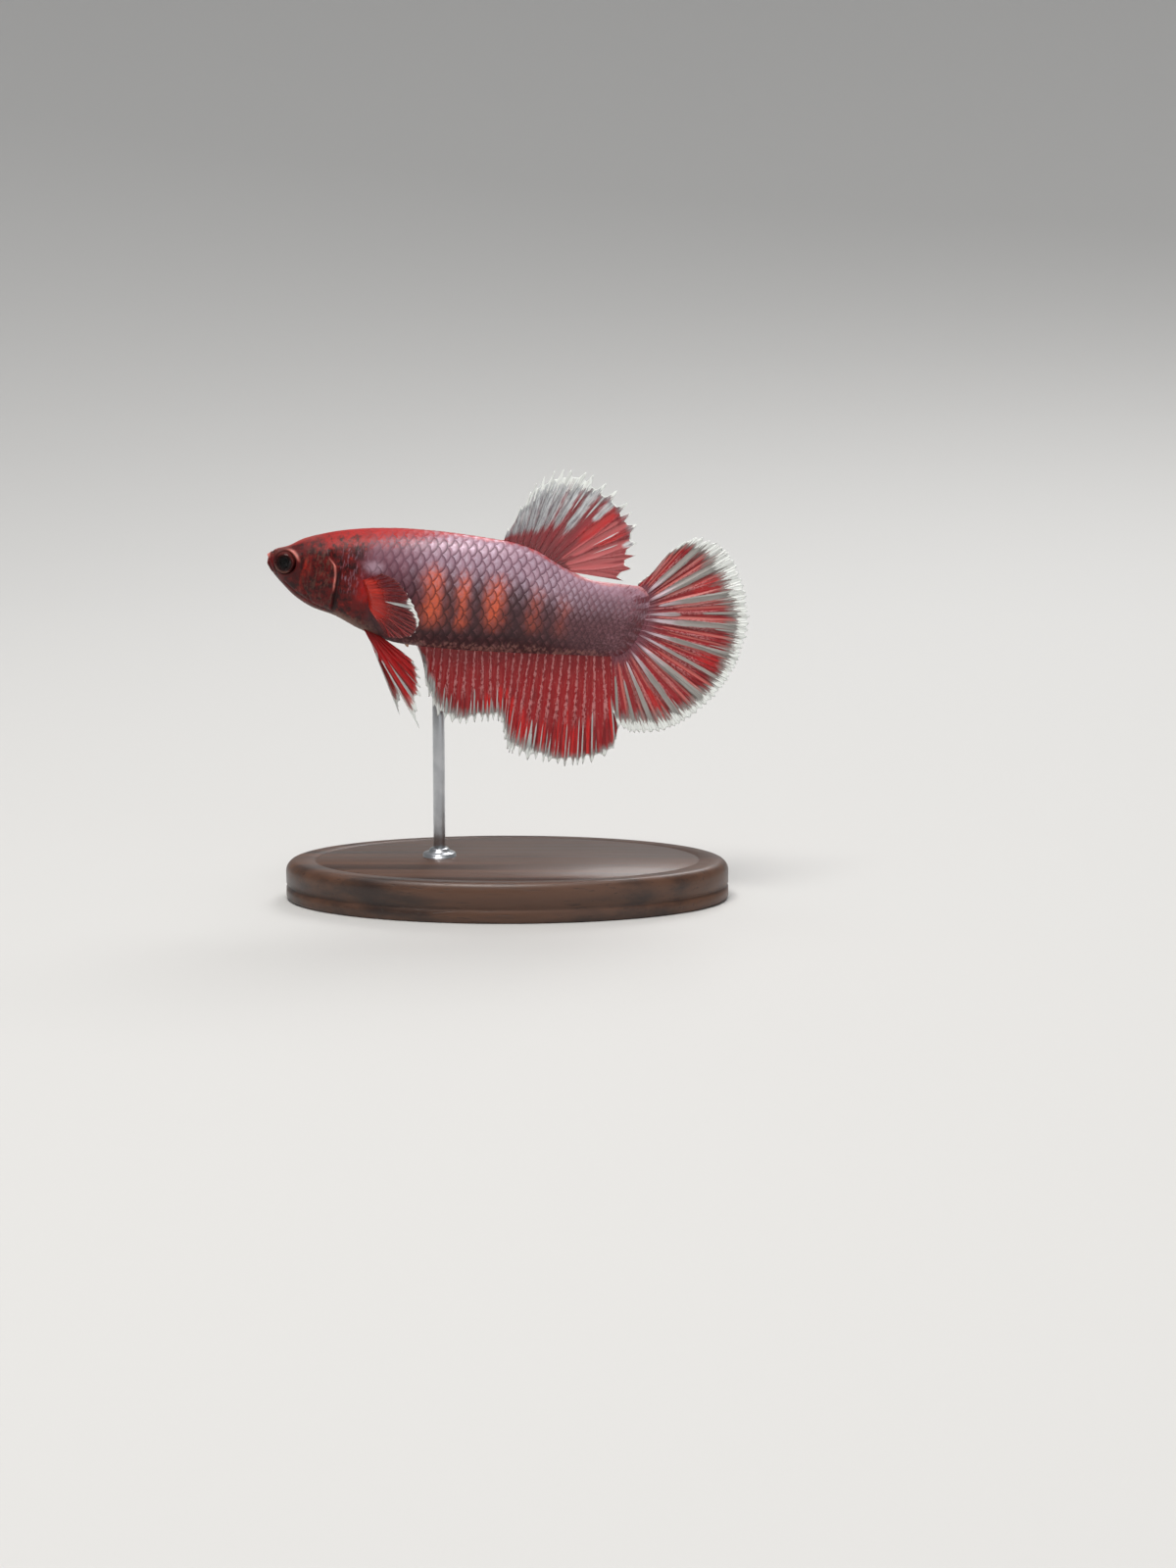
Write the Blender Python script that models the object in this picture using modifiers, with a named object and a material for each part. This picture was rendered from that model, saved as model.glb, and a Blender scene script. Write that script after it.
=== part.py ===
"""Adult short-finned betta on a plain display stand, life size.

Metres, +Z up. The origin is the centre of the stand's underside, the fish faces -X
and its left side faces -Y. The fish is shaped in its own frame: u runs back from the
tip of the snout, v up and w to the right, all in millimetres. The empty "fish" tilts
that frame nose up and lifts it over the stand.
"""

import math

import bpy
import bmesh
import numpy as np

MM = 0.001
GAP = 0.3                     # clearance between neighbouring solids, mm
FIN_THICKNESS = 0.5
SMOOTH_ANGLE = math.radians(40)

# --- pose and stand ---------------------------------------------------------------
NOSE_UP = math.radians(8.5)
SNOUT_X = -29.7               # where the tip of the snout hangs
SNOUT_Z = 43.5
BASE_LENGTH = 56.0
BASE_WIDTH = 32.0
BASE_HEIGHT = 5.0
BASE_EDGE = 1.4               # rounding of the base's upper edge
ROD_RADIUS = 0.75
ROD_U = 22.0                  # where the rod meets the belly, beside the anal fin
ROD_SIDE = 1.6
ROD_TOP_V = -4.8
ROD_SEAT = 2.0                # how deep the rod stands in the base

# --- body: u, back, belly, half width, keel (1 = round belly, more = sharper) -------
STATIONS = (
    (0.0, -0.20, -0.20, 0.00, 1.0),
    (0.1, 0.20, -0.75, 0.55, 1.0),
    (0.9, 1.03, -2.05, 1.42, 1.0),
    (2.3, 1.62, -3.35, 2.12, 1.0),
    (4.2, 2.85, -4.75, 2.70, 1.0),
    (6.5, 3.80, -5.75, 3.25, 1.0),
    (9.0, 4.60, -6.25, 3.65, 1.0),
    (13.0, 5.45, -7.65, 3.95, 1.0),
    (18.0, 6.05, -8.60, 4.00, 1.0),
    (24.0, 6.28, -8.40, 3.70, 1.2),
    (29.0, 6.25, -8.00, 3.25, 1.4),
    (32.5, 5.75, -7.70, 2.85, 1.5),
    (37.0, 3.95, -7.20, 2.15, 1.5),
    (41.0, 2.95, -6.75, 1.65, 1.3),
    (46.5, 2.95, -6.10, 1.15, 1.0),
)
WIDEST_AT = 0.52              # height of the greatest width, as a share of the depth
GILL_U = 9.15                 # rear edge of the gill cover at mid height
GILL_LEAN = 1.0               # how far the gill edge leans forward at the nape
TAIL_CUT_U = 40.0
TAIL_ROOT_U = 45.2            # where the tail base starts to round off
TAIL_ROOT_LEAN = 1.0
TAIL_ROOT_BULGE = 2.9
RING_POINTS = 24
HEAD_RINGS = 13
TRUNK_RINGS = 18

# --- head ---------------------------------------------------------------------------
EYE_U, EYE_V, EYE_SIDE = 2.45, -0.42, 1.58
EYE_RADIUS = 1.45
EYE_HALF_THICKNESS = 0.85
EYE_TOE_IN = math.radians(12)
GILL_COVER_CENTRE = (6.55, -1.55, 3.85)
GILL_COVER_RADII = (2.35, 3.35, 1.45)

# --- fins: (share along the fan, u, v) of the ray tips --------------------------------
DORSAL_BASE = (28.8, 37.6)
DORSAL_TIPS = (
    (0.00, 29.2, 8.2), (0.07, 30.5, 11.3), (0.14, 31.4, 13.0), (0.21, 32.3, 14.6),
    (0.31, 34.6, 16.1), (0.46, 38.2, 16.3), (0.58, 41.0, 15.3), (0.70, 43.8, 13.0),
    (0.82, 45.3, 9.9), (0.92, 45.7, 6.5), (1.00, 44.7, 3.4),
)
TAIL_TIPS = (
    (0.00, 52.8, 10.0), (0.08, 55.6, 9.6), (0.18, 58.3, 7.1), (0.30, 60.2, 3.0),
    (0.42, 60.8, -1.2), (0.54, 59.9, -5.0), (0.66, 58.3, -8.8), (0.78, 55.6, -12.0),
    (0.88, 52.0, -14.7), (0.94, 48.8, -15.4), (0.98, 46.5, -14.8), (1.00, 45.5, -13.2),
)
ANAL_BASE = (19.7, 43.3)
ANAL_TIPS = (
    (0.00, 21.6, -11.0), (0.05, 21.8, -13.3), (0.10, 22.6, -15.4), (0.16, 24.1, -17.3),
    (0.24, 26.2, -17.8), (0.34, 29.4, -17.2), (0.45, 31.8, -16.6), (0.49, 32.4, -18.4),
    (0.56, 33.5, -20.4), (0.66, 36.2, -20.9), (0.80, 40.7, -21.0), (0.91, 44.3, -19.8),
    (0.96, 46.4, -17.8), (1.00, 45.8, -15.5),
)
VENTRAL_BASE = (13.1, 15.2)
VENTRAL_TIPS = (
    (0.00, 21.9, -18.4), (0.20, 21.3, -15.8), (0.40, 21.5, -14.0), (0.60, 21.2, -12.5),
    (0.80, 20.6, -10.9), (1.00, 18.9, -9.7),
)
VENTRAL_SIDE = 1.1
RIGHT_VENTRAL_SWING = math.radians(-10)
RIGHT_VENTRAL_REACH = 0.87
PECTORAL_BASE = ((12.3, -0.9), (13.5, -4.0))
PECTORAL_TIPS = (
    (0.00, 14.7, 0.6), (0.15, 16.4, 0.2), (0.35, 18.0, -1.2), (0.55, 19.3, -2.9),
    (0.72, 20.1, -4.6), (0.85, 19.8, -6.0), (0.94, 18.2, -7.0), (1.00, 16.5, -7.2),
)
PECTORAL_SPLAY = math.radians(24)
VENTRAL_SPLAY = math.radians(9)


def curve_through(points):
    """Return a function that runs smoothly through the points, without overshoot."""
    table = np.array(points, float)
    x, y = table[:, 0], table[:, 1:]
    step = np.diff(x)[:, None]
    slope = np.diff(y, axis=0) / step
    turn = np.zeros_like(y)
    turn[0], turn[-1] = slope[0], slope[-1]
    same_way = slope[:-1] * slope[1:] > 0
    mean = 2 * slope[:-1] * slope[1:] / np.where(same_way, slope[:-1] + slope[1:], 1)
    turn[1:-1] = np.where(same_way, mean, 0)

    def value(at):
        at = min(max(at, x[0]), x[-1])
        i = min(max(int(np.searchsorted(x, at)) - 1, 0), len(step) - 1)
        h = step[i]
        t = (at - x[i]) / h
        start = y[i] * (1 + 2 * t) * (1 - t) ** 2 + turn[i] * h * t * (1 - t) ** 2
        end = y[i + 1] * (3 - 2 * t) * t * t - turn[i + 1] * h * t * t * (1 - t)
        return start + end

    return value


# Stations are joined over the square root of u, which rounds the snout.
body_profile = curve_through([(math.sqrt(row[0]), *row[1:]) for row in STATIONS])


def section(u):
    """Return back, belly, half width, keel and height of the greatest width at u."""
    back, belly, half, keel = body_profile(math.sqrt(max(u, 0)))
    return back, belly, half, keel, belly + WIDEST_AT * (back - belly)


def body_point(u, angle, shrink=1.0):
    """Return the body's surface point; angle is 0 at the back, pi at the belly."""
    back, belly, half, keel, middle = section(u)
    rise = math.cos(angle)
    side = math.sin(angle)
    reach = (back - middle if rise > 0 else middle - belly) * rise
    power = 1 if rise > 0 else keel
    across = math.copysign(abs(side) ** power, side) * half
    return u, across * shrink, middle + reach * shrink


def side_at(u, v):
    """Return how far out the body's flank lies at height v."""
    back, belly, half, keel, middle = section(u)
    share = (v - middle) / (back - middle if v > middle else middle - belly)
    power = 1 if v > middle else keel
    return half * math.sqrt(max(1 - share * share, 0)) ** power


def gill_edge(angle, offset=0.0):
    """Return u of the cut behind the head."""
    return GILL_U - GILL_LEAN * max(math.cos(angle), 0) + offset


def tail_root(angle):
    """Return u of the ring where the tail base starts to round off."""
    return TAIL_ROOT_U + TAIL_ROOT_LEAN * math.cos(angle)


def body_rings(start, end, count):
    """Return rings between two edges, each a function of the angle."""
    rings = []
    for i in range(count):
        share = i / (count - 1)
        ring = []
        for k in range(RING_POINTS):
            angle = 2 * math.pi * k / RING_POINTS
            u = start(angle) + (end(angle) - start(angle)) * share
            ring.append(body_point(u, angle))
        rings.append(ring)
    return rings


def snout_rings(end, count):
    """Return rings from just behind the snout's tip back to an edge."""
    rings = []
    for i in range(1, count):
        share = (i / (count - 1)) ** 2
        angles = [2 * math.pi * k / RING_POINTS for k in range(RING_POINTS)]
        rings.append([body_point(end(angle) * share, angle) for angle in angles])
    return rings


def root_rings(count):
    """Return the rings that round off the tail base."""
    rings = []
    for i in range(1, count):
        turn = 0.5 * math.pi * i / count
        ring = []
        for k in range(RING_POINTS):
            angle = 2 * math.pi * k / RING_POINTS
            u = tail_root(angle)
            _, across, height = body_point(u, angle, math.cos(turn))
            lean = TAIL_ROOT_LEAN * math.cos(angle) * (1 - math.cos(turn))
            ring.append((u - lean + TAIL_ROOT_BULGE * math.sin(turn), across, height))
        rings.append(ring)
    return rings


def add_object(name, mesh, collection, parent=None):
    """Put a mesh in the scene under its name."""
    obj = bpy.data.objects.new(name, mesh)
    collection.objects.link(obj)
    obj.parent = parent
    return obj


def paint(obj, colour, roughness, metallic=0.0):
    """Give an object its own Principled material."""
    material = bpy.data.materials.new(obj.name + "_finish")
    material.use_nodes = True
    shader = material.node_tree.nodes["Principled BSDF"]
    shader.inputs["Base Color"].default_value = (*colour, 1)
    shader.inputs["Roughness"].default_value = roughness
    shader.inputs["Metallic"].default_value = metallic
    obj.data.materials.clear()
    obj.data.materials.append(material)


def loft(name, rings, collection, parent):
    """Skin a stack of rings and close both ends."""
    shape = bmesh.new()
    rows = [[shape.verts.new([c * MM for c in (p[0], p[1], p[2])]) for p in r] for r in rings]
    for front, rear in zip(rows, rows[1:]):
        for k in range(RING_POINTS):
            n = (k + 1) % RING_POINTS
            shape.faces.new((front[k], front[n], rear[n], rear[k]))
    for row in (rows[0], rows[-1]):
        centre = sum((v.co for v in row), row[0].co * 0) / len(row)
        hub = shape.verts.new(centre)
        for k in range(RING_POINTS):
            shape.faces.new((row[k], row[(k + 1) % RING_POINTS], hub))
    bmesh.ops.recalc_face_normals(shape, faces=shape.faces)
    mesh = bpy.data.meshes.new(name)
    shape.to_mesh(mesh)
    shape.free()
    mesh.shade_smooth()
    mesh.set_sharp_from_angle(angle=SMOOTH_ANGLE)
    return add_object(name, mesh, collection, parent)


def add_modifier(obj, kind, **settings):
    """Add a modifier with its settings."""
    modifier = obj.modifiers.new(kind.title(), kind)
    for key, value in settings.items():
        setattr(modifier, key, value)
    return modifier


def cut(obj, cutter, operation="DIFFERENCE"):
    """Cut an object with another by an exact Boolean."""
    add_modifier(obj, "BOOLEAN", operation=operation, object=cutter, solver="EXACT")


def tooth(count, depth, wander=0.0):
    """Return how far the margin falls back between count pointed ray tips."""

    def fall(share):
        place = share * (count - 1)
        nearest = round(place)
        away = min(2 * abs(place - nearest), 1)
        varied = 1 + wander * math.sin(2.4 * nearest + 1)
        return depth * varied * away * (2 - away)

    return fall


def fan(name, base, tips, fall, columns, rows, side, collection, parent):
    """Make a fin whose straight rays run from its base to its toothed margin.

    side returns the fin's place across the fish from the share along the fan, the
    share out along the ray and the ray's length.
    """
    shape = bmesh.new()
    grid = []
    for c in range(columns + 1):
        share = c / columns
        root = np.array(base(share))
        tip = np.array(tips(share))
        length = np.linalg.norm(tip - root)
        reach = 1 - fall(share) / length
        line = []
        for r in range(rows + 1):
            out = (r / rows) * reach
            u, v = root + (tip - root) * out
            line.append(shape.verts.new((u * MM, side(share, out, length) * MM, v * MM)))
        grid.append(line)
    for left, right in zip(grid, grid[1:]):
        for r in range(rows):
            shape.faces.new((left[r], right[r], right[r + 1], left[r + 1]))
    mesh = bpy.data.meshes.new(name)
    shape.to_mesh(mesh)
    shape.free()
    mesh.shade_smooth()
    fin = add_object(name, mesh, collection, parent)
    add_modifier(fin, "SOLIDIFY", thickness=FIN_THICKNESS * MM, offset=0)
    return fin


def ball(name, centre, radii, turn, grow, rings, collection, parent):
    """Make an ellipsoid; centre and radii are along u, v and w, in mm."""
    shape = bmesh.new()
    bmesh.ops.create_uvsphere(shape, u_segments=2 * rings, v_segments=rings, radius=1)
    for vert in shape.verts:
        # The poles face sideways, so that the finest faces lie over the pupil.
        x, y, z = vert.co
        vert.co = ((radii[0] + grow) * x * MM, -(radii[2] + grow) * z * MM,
                   (radii[1] + grow) * y * MM)
    mesh = bpy.data.meshes.new(name)
    shape.to_mesh(mesh)
    shape.free()
    mesh.shade_smooth()
    obj = add_object(name, mesh, collection, parent)
    obj.location = (centre[0] * MM, centre[2] * MM, centre[1] * MM)
    obj.rotation_euler.z = turn
    return obj


def hide_cutter(obj):
    """Keep a cutter out of the finished part."""
    obj.hide_render = True
    obj.display_type = "WIRE"
    return obj


def make_body(parts, cutters, fish):
    """Head, trunk and tail base, parted behind the gills and at the peduncle."""
    straight = TAIL_CUT_U
    head = loft("head", snout_rings(gill_edge, HEAD_RINGS), parts, fish)
    trunk_start = body_rings(lambda a: gill_edge(a, GAP), lambda a: straight, TRUNK_RINGS)
    trunk = loft("trunk", trunk_start, parts, fish)
    tail_rings = body_rings(lambda a: straight + GAP, tail_root, 5) + root_rings(5)
    tail = loft("tail", tail_rings, parts, fish)
    paint(head, (0.42, 0.07, 0.06), 0.4)
    paint(trunk, (0.33, 0.20, 0.26), 0.35)
    paint(tail, (0.36, 0.22, 0.28), 0.35)
    return head, trunk


def make_eyes_and_gill_covers(head, parts, cutters, fish):
    """Eyes in their sockets and gill covers let into the cheeks, on both sides."""
    for side_name, side in (("left", -1), ("right", 1)):
        centre = (EYE_U, EYE_V, side * EYE_SIDE)
        radii = (EYE_RADIUS, EYE_RADIUS, EYE_HALF_THICKNESS)
        turn = side * EYE_TOE_IN
        eye = ball("eye_" + side_name, centre, radii, turn, 0, 9, parts, fish)
        paint(eye, (0.03, 0.02, 0.03), 0.1)
        socket = ball("socket_" + side_name, centre, radii, turn, GAP, 10, cutters, fish)
        cut(head, hide_cutter(socket))

        centre = (*GILL_COVER_CENTRE[:2], side * GILL_COVER_CENTRE[2])
        seat = ball("seat_" + side_name, centre, GILL_COVER_RADII, 0, GAP, 10, cutters, fish)
        plate = ball("plate_" + side_name, centre, GILL_COVER_RADII, 0, 0, 10, cutters, fish)
        whole = loft("flesh_" + side_name, snout_rings(gill_edge, HEAD_RINGS), cutters, fish)
        cover = add_object("gill_cover_" + side_name, whole.data.copy(), parts, fish)
        bpy.data.objects.remove(whole)
        cut(cover, hide_cutter(plate), "INTERSECT")
        cut(head, hide_cutter(seat))
        paint(cover, (0.40, 0.12, 0.10), 0.4)


def back_line(start, end, crowd):
    """Return the dorsal base, just over the back."""

    def base(share):
        u = start + (end - start) * share ** crowd
        return u, section(u)[0] + GAP

    return base


def belly_line(start, end):
    """Return a fin base just under the belly."""

    def base(share):
        u = start + (end - start) * share
        return u, section(u)[1] - GAP

    return base


def tail_line(share):
    """Return the tail fin's base, just behind the rounded tail base."""
    turn = math.pi * (0.5 - share)
    back, belly, _, _, middle = section(TAIL_ROOT_U)
    height = (back - middle if turn > 0 else middle - belly) + GAP
    u = TAIL_ROOT_U + TAIL_ROOT_LEAN * math.sin(turn)
    lean = TAIL_ROOT_LEAN * math.sin(turn) * (1 - abs(math.sin(turn)))
    return u - lean + (TAIL_ROOT_BULGE + GAP) * math.cos(turn), middle + height * math.sin(turn)


def make_middle_fins(parts, fish):
    """Dorsal, tail and anal fins, which stand in the middle plane."""
    dorsal = fan("dorsal_fin", back_line(*DORSAL_BASE, 0.8), curve_through(DORSAL_TIPS),
                 tooth(18, 1.2), 68, 3,
                 lambda a, s, n: 0.35 * s * math.sin(5 * a), parts, fish)
    tail = fan("tail_fin", tail_line, curve_through(TAIL_TIPS), tooth(29, 0.7), 84, 3,
               lambda a, s, n: 0.5 * s * math.sin(4 * a + 0.6), parts, fish)
    anal = fan("anal_fin", belly_line(*ANAL_BASE), curve_through(ANAL_TIPS),
               tooth(22, 1.1, 0.45), 84, 3,
               lambda a, s, n: 0.25 * s * math.sin(7 * a), parts, fish)
    paint(dorsal, (0.45, 0.16, 0.17), 0.45)
    paint(tail, (0.48, 0.05, 0.06), 0.45)
    paint(anal, (0.42, 0.03, 0.05), 0.45)


def make_paired_fins(parts, fish):
    """Pectoral and ventral fins on both sides."""
    upper, lower = (np.array(end) for end in PECTORAL_BASE)
    root = lambda share: upper + (lower - upper) * share
    clear = GAP + FIN_THICKNESS
    for side_name, side in (("left", -1), ("right", 1)):
        pectoral = fan(
            "pectoral_fin_" + side_name, root, curve_through(PECTORAL_TIPS),
            tooth(11, 0.35), 30, 2,
            lambda a, s, n: side * (side_at(*root(a)) + clear
                                    + s * n * math.tan(PECTORAL_SPLAY)),
            parts, fish)
        paint(pectoral, (0.50, 0.14, 0.08), 0.45)

        swing, reach = (RIGHT_VENTRAL_SWING, RIGHT_VENTRAL_REACH) if side > 0 else (0.0, 1.0)
        line = belly_line(*VENTRAL_BASE)
        pivot = np.array(line(0.0))
        tips = curve_through(VENTRAL_TIPS)
        turn = reach * np.array(((math.cos(swing), -math.sin(swing)),
                                 (math.sin(swing), math.cos(swing))))
        ventral = fan(
            "ventral_fin_" + side_name, line, lambda a: pivot + turn @ (tips(a) - pivot),
            tooth(6, 0.8), 25, 3,
            lambda a, s, n: side * (VENTRAL_SIDE + s * n * math.tan(VENTRAL_SPLAY)),
            parts, fish)
        paint(ventral, (0.55, 0.12, 0.12), 0.45)


def make_stand(trunk, parts, cutters):
    """Oval base and the rod that rises beside the anal fin into the belly."""
    bpy.ops.mesh.primitive_cylinder_add(vertices=56, radius=1, depth=BASE_HEIGHT * MM)
    base = bpy.context.object
    base.name = "stand_base"
    base.scale = (BASE_LENGTH / 2 * MM, BASE_WIDTH / 2 * MM, 1)
    base.location.z = BASE_HEIGHT / 2 * MM
    bpy.ops.object.transform_apply(location=True, rotation=False, scale=True)
    top = [e for e in base.data.edges
           if all(base.data.vertices[i].co.z > BASE_HEIGHT * 0.99 * MM for i in e.vertices)]
    weights = base.data.attributes.new("bevel_weight_edge", "FLOAT", "EDGE")
    for edge in top:
        weights.data[edge.index].value = 1
    add_modifier(base, "BEVEL", limit_method="WEIGHT", width=BASE_EDGE * MM, segments=2)
    paint(base, (0.07, 0.035, 0.02), 0.35)

    back, up = math.cos(NOSE_UP), math.sin(NOSE_UP)
    rod_x = SNOUT_X + ROD_U * back + ROD_TOP_V * up
    rod_top = SNOUT_Z - ROD_U * up + ROD_TOP_V * back
    seat = BASE_HEIGHT - ROD_SEAT
    pieces = (("stand_rod", ROD_RADIUS, seat + GAP, rod_top, parts),
              ("base_bore", ROD_RADIUS + GAP, seat, BASE_HEIGHT + 1, cutters),
              ("belly_bore", ROD_RADIUS + GAP, BASE_HEIGHT + 2, rod_top + GAP, cutters))
    made = {}
    for name, radius, low, high, collection in pieces:
        bpy.ops.mesh.primitive_cylinder_add(vertices=16, radius=radius * MM,
                                            depth=(high - low) * MM)
        piece = bpy.context.object
        piece.name = name
        piece.location = (rod_x * MM, ROD_SIDE * MM, (low + high) / 2 * MM)
        piece.data.shade_smooth()
        piece.data.set_sharp_from_angle(angle=SMOOTH_ANGLE)
        made[name] = (piece, collection)
    for piece, collection in (*made.values(), (base, parts)):
        for home in piece.users_collection:
            home.objects.unlink(piece)
        collection.objects.link(piece)
    cut(base, hide_cutter(made["base_bore"][0]))
    cut(trunk, hide_cutter(made["belly_bore"][0]))
    paint(made["stand_rod"][0], (0.62, 0.62, 0.60), 0.3, 1.0)


def main():
    for obj in list(bpy.data.objects):
        bpy.data.objects.remove(obj)
    parts = bpy.data.collections.new("betta_on_stand")
    cutters = bpy.data.collections.new("cutters")
    for collection in (parts, cutters):
        bpy.context.scene.collection.children.link(collection)
    fish = bpy.data.objects.new("fish", None)
    parts.objects.link(fish)
    fish.location = (SNOUT_X * MM, 0, SNOUT_Z * MM)
    fish.rotation_euler.y = NOSE_UP

    head, trunk = make_body(parts, cutters, fish)
    make_eyes_and_gill_covers(head, parts, cutters, fish)
    make_middle_fins(parts, fish)
    make_paired_fins(parts, fish)
    make_stand(trunk, parts, cutters)


main()
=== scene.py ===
"""Looks of a live-coloured betta on its display stand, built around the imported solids.

The fish is shaped in its own frame, in millimetres: u runs back from the tip of the
snout, w to the fish's right and v up. Anatomy.world() tilts and lifts that frame into
the row frame, in metres.
"""

import logging
import math
from dataclasses import dataclass, field
from enum import Enum
from functools import cache
from typing import Any, Callable, Sequence

import bmesh
import bpy
import numpy as np
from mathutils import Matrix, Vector


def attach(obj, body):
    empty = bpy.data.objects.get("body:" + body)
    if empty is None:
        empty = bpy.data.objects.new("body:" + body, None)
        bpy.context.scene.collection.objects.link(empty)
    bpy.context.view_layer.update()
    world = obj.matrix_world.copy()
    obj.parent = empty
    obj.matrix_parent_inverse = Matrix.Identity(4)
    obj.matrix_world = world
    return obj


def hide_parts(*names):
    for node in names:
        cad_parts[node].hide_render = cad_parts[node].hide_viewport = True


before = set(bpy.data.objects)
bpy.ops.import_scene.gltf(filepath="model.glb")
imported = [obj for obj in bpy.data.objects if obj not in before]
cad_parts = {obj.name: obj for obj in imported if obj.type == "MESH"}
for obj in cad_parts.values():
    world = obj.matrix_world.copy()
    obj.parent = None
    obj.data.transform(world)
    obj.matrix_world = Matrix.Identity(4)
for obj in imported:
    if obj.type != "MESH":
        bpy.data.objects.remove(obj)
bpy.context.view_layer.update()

LOG = logging.getLogger("betta")
MM = 0.001
TAU = 2 * math.pi
SEED = 58

Array = np.ndarray
Colour = tuple[float, float, float, float]
Outline = list[tuple[float, float]]
Piece = bpy.types.Object
Material = bpy.types.Material
Socket = bpy.types.NodeSocket


# --- small tools ------------------------------------------------------------------


def curve_through(points: Sequence[Sequence[float]]) -> Callable[[Any], Array]:
    """Make a function that runs smoothly through points, without overshoot.

    Args:
        points: rows of x and one or more values, x rising.

    Returns:
        A function of an array of x that gives an array of rows of values.
    """
    table = np.array(points, float)
    x, y = table[:, 0], table[:, 1:]
    step = np.diff(x)[:, None]
    slope = np.diff(y, axis=0) / step
    turn = np.zeros_like(y)
    turn[0], turn[-1] = slope[0], slope[-1]
    product = slope[:-1] * slope[1:]
    total = np.where(product > 0, slope[:-1] + slope[1:], 1)
    turn[1:-1] = np.where(product > 0, 2 * product / total, 0)

    def value(at: Any) -> Array:
        at = np.clip(np.asarray(at, float), x[0], x[-1])
        i = np.clip(np.searchsorted(x, at) - 1, 0, len(step) - 1)
        h = step[i]
        t = (at - x[i])[..., None] / h
        start = y[i] * (1 + 2 * t) * (1 - t) ** 2 + turn[i] * h * t * (1 - t) ** 2
        end = y[i + 1] * (3 - 2 * t) * t * t - turn[i + 1] * h * t * t * (1 - t)
        return start + end

    return value


def ease(low: float, high: float, x: Array) -> Array:
    """Rise smoothly from 0 at low to 1 at high."""
    t = np.clip((x - low) / (high - low), 0, 1)
    return t * t * (3 - 2 * t)


def hump(x: Array, centre: float, width: float) -> Array:
    """Return a smooth hump of height 1 and the given half width."""
    return np.exp(-(((x - centre) / width) ** 2))


def off_path(u: Array, v: Array, path: Sequence[tuple[float, float]]) -> tuple[Array, Array]:
    """Measure points against a bent line.

    Args:
        u: points' first coordinate.
        v: points' second coordinate.
        path: corners of the line.

    Returns:
        Distance to the line, positive on its left, and share along the line.
    """
    best = np.full(np.shape(u), 1e9)
    side = np.ones(np.shape(u))
    along = np.zeros(np.shape(u))
    count = len(path) - 1
    for i, (start, end) in enumerate(zip(path, path[1:])):
        du, dv = end[0] - start[0], end[1] - start[1]
        t = np.clip(((u - start[0]) * du + (v - start[1]) * dv) / (du * du + dv * dv), 0, 1)
        eu, ev = u - start[0] - t * du, v - start[1] - t * dv
        distance = np.hypot(eu, ev)
        closer = distance < best
        best = np.where(closer, distance, best)
        side = np.where(closer, np.sign(du * ev - dv * eu), side)
        along = np.where(closer, (i + t) / count, along)
    return best * side, along


def srgb(red: int, green: int, blue: int) -> Colour:
    """Turn a display colour, 0 to 255, into a linear one."""
    parts = [c / 255 for c in (red, green, blue)]
    linear = [c / 12.92 if c <= 0.04045 else ((c + 0.055) / 1.055) ** 2.4 for c in parts]
    return (*linear, 1.0)


def deselect() -> None:
    """Leave nothing selected, so that an operator acts on what it adds."""
    bpy.ops.object.select_all(action="DESELECT")


def read_points(obj: Piece) -> Array:
    """Return a mesh's points as rows of x, y and z."""
    points = np.empty(len(obj.data.vertices) * 3)
    obj.data.vertices.foreach_get("co", points)
    return points.reshape(-1, 3)


def write_points(obj: Piece, points: Array) -> None:
    """Move a mesh's points."""
    obj.data.vertices.foreach_set("co", np.ascontiguousarray(points, np.float32).ravel())
    obj.data.update()


def set_attribute(obj: Piece, name: str, values: Array) -> None:
    """Store one number for each point of a mesh."""
    attribute = obj.data.attributes.new(name, "FLOAT", "POINT")
    attribute.data.foreach_set("value", np.ascontiguousarray(values, np.float32))


def named(name: str) -> Piece:
    """Name what an operator has just added, and return it."""
    obj = bpy.context.object
    obj.name = obj.data.name = name
    return obj


def add_sheet(name: str, columns: int, rows: int) -> tuple[Piece, Array, Array]:
    """Add a flat grid whose points are still to be placed.

    Args:
        name: the piece's name.
        columns: cells across.
        rows: cells along.

    Returns:
        The object and the share across and along of each of its points.
    """
    deselect()
    bpy.ops.mesh.primitive_grid_add(x_subdivisions=columns, y_subdivisions=rows, size=1)
    obj = named(name)
    flat = read_points(obj)
    return obj, flat[:, 0] + 0.5, flat[:, 1] + 0.5


def add_ball(name: str, segments: int, rings: int) -> tuple[Piece, Array]:
    """Add a ball of radius 1 and give its points."""
    deselect()
    bpy.ops.mesh.primitive_uv_sphere_add(segments=segments, ring_count=rings, radius=1)
    obj = named(name)
    return obj, read_points(obj)


def add_object(name: str, data: Any) -> Piece:
    """Put a mesh, lamp or camera into the scene."""
    obj = bpy.data.objects.new(name, data)
    bpy.context.collection.objects.link(obj)
    return obj


def pick(obj: Piece) -> None:
    """Select one object alone and make it active."""
    deselect()
    bpy.context.view_layer.objects.active = obj
    obj.select_set(True)


def face_out(obj: Piece, merge: float = 0.0, inside: bool = False) -> None:
    """Turn a mesh's faces outward, or inward, after merging points closer than merge."""
    pick(obj)
    bpy.ops.object.mode_set(mode="EDIT")
    bpy.ops.mesh.select_all(action="SELECT")
    if merge:
        bpy.ops.mesh.remove_doubles(threshold=merge)
    bpy.ops.mesh.normals_make_consistent(inside=inside)
    bpy.ops.object.mode_set(mode="OBJECT")


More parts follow.
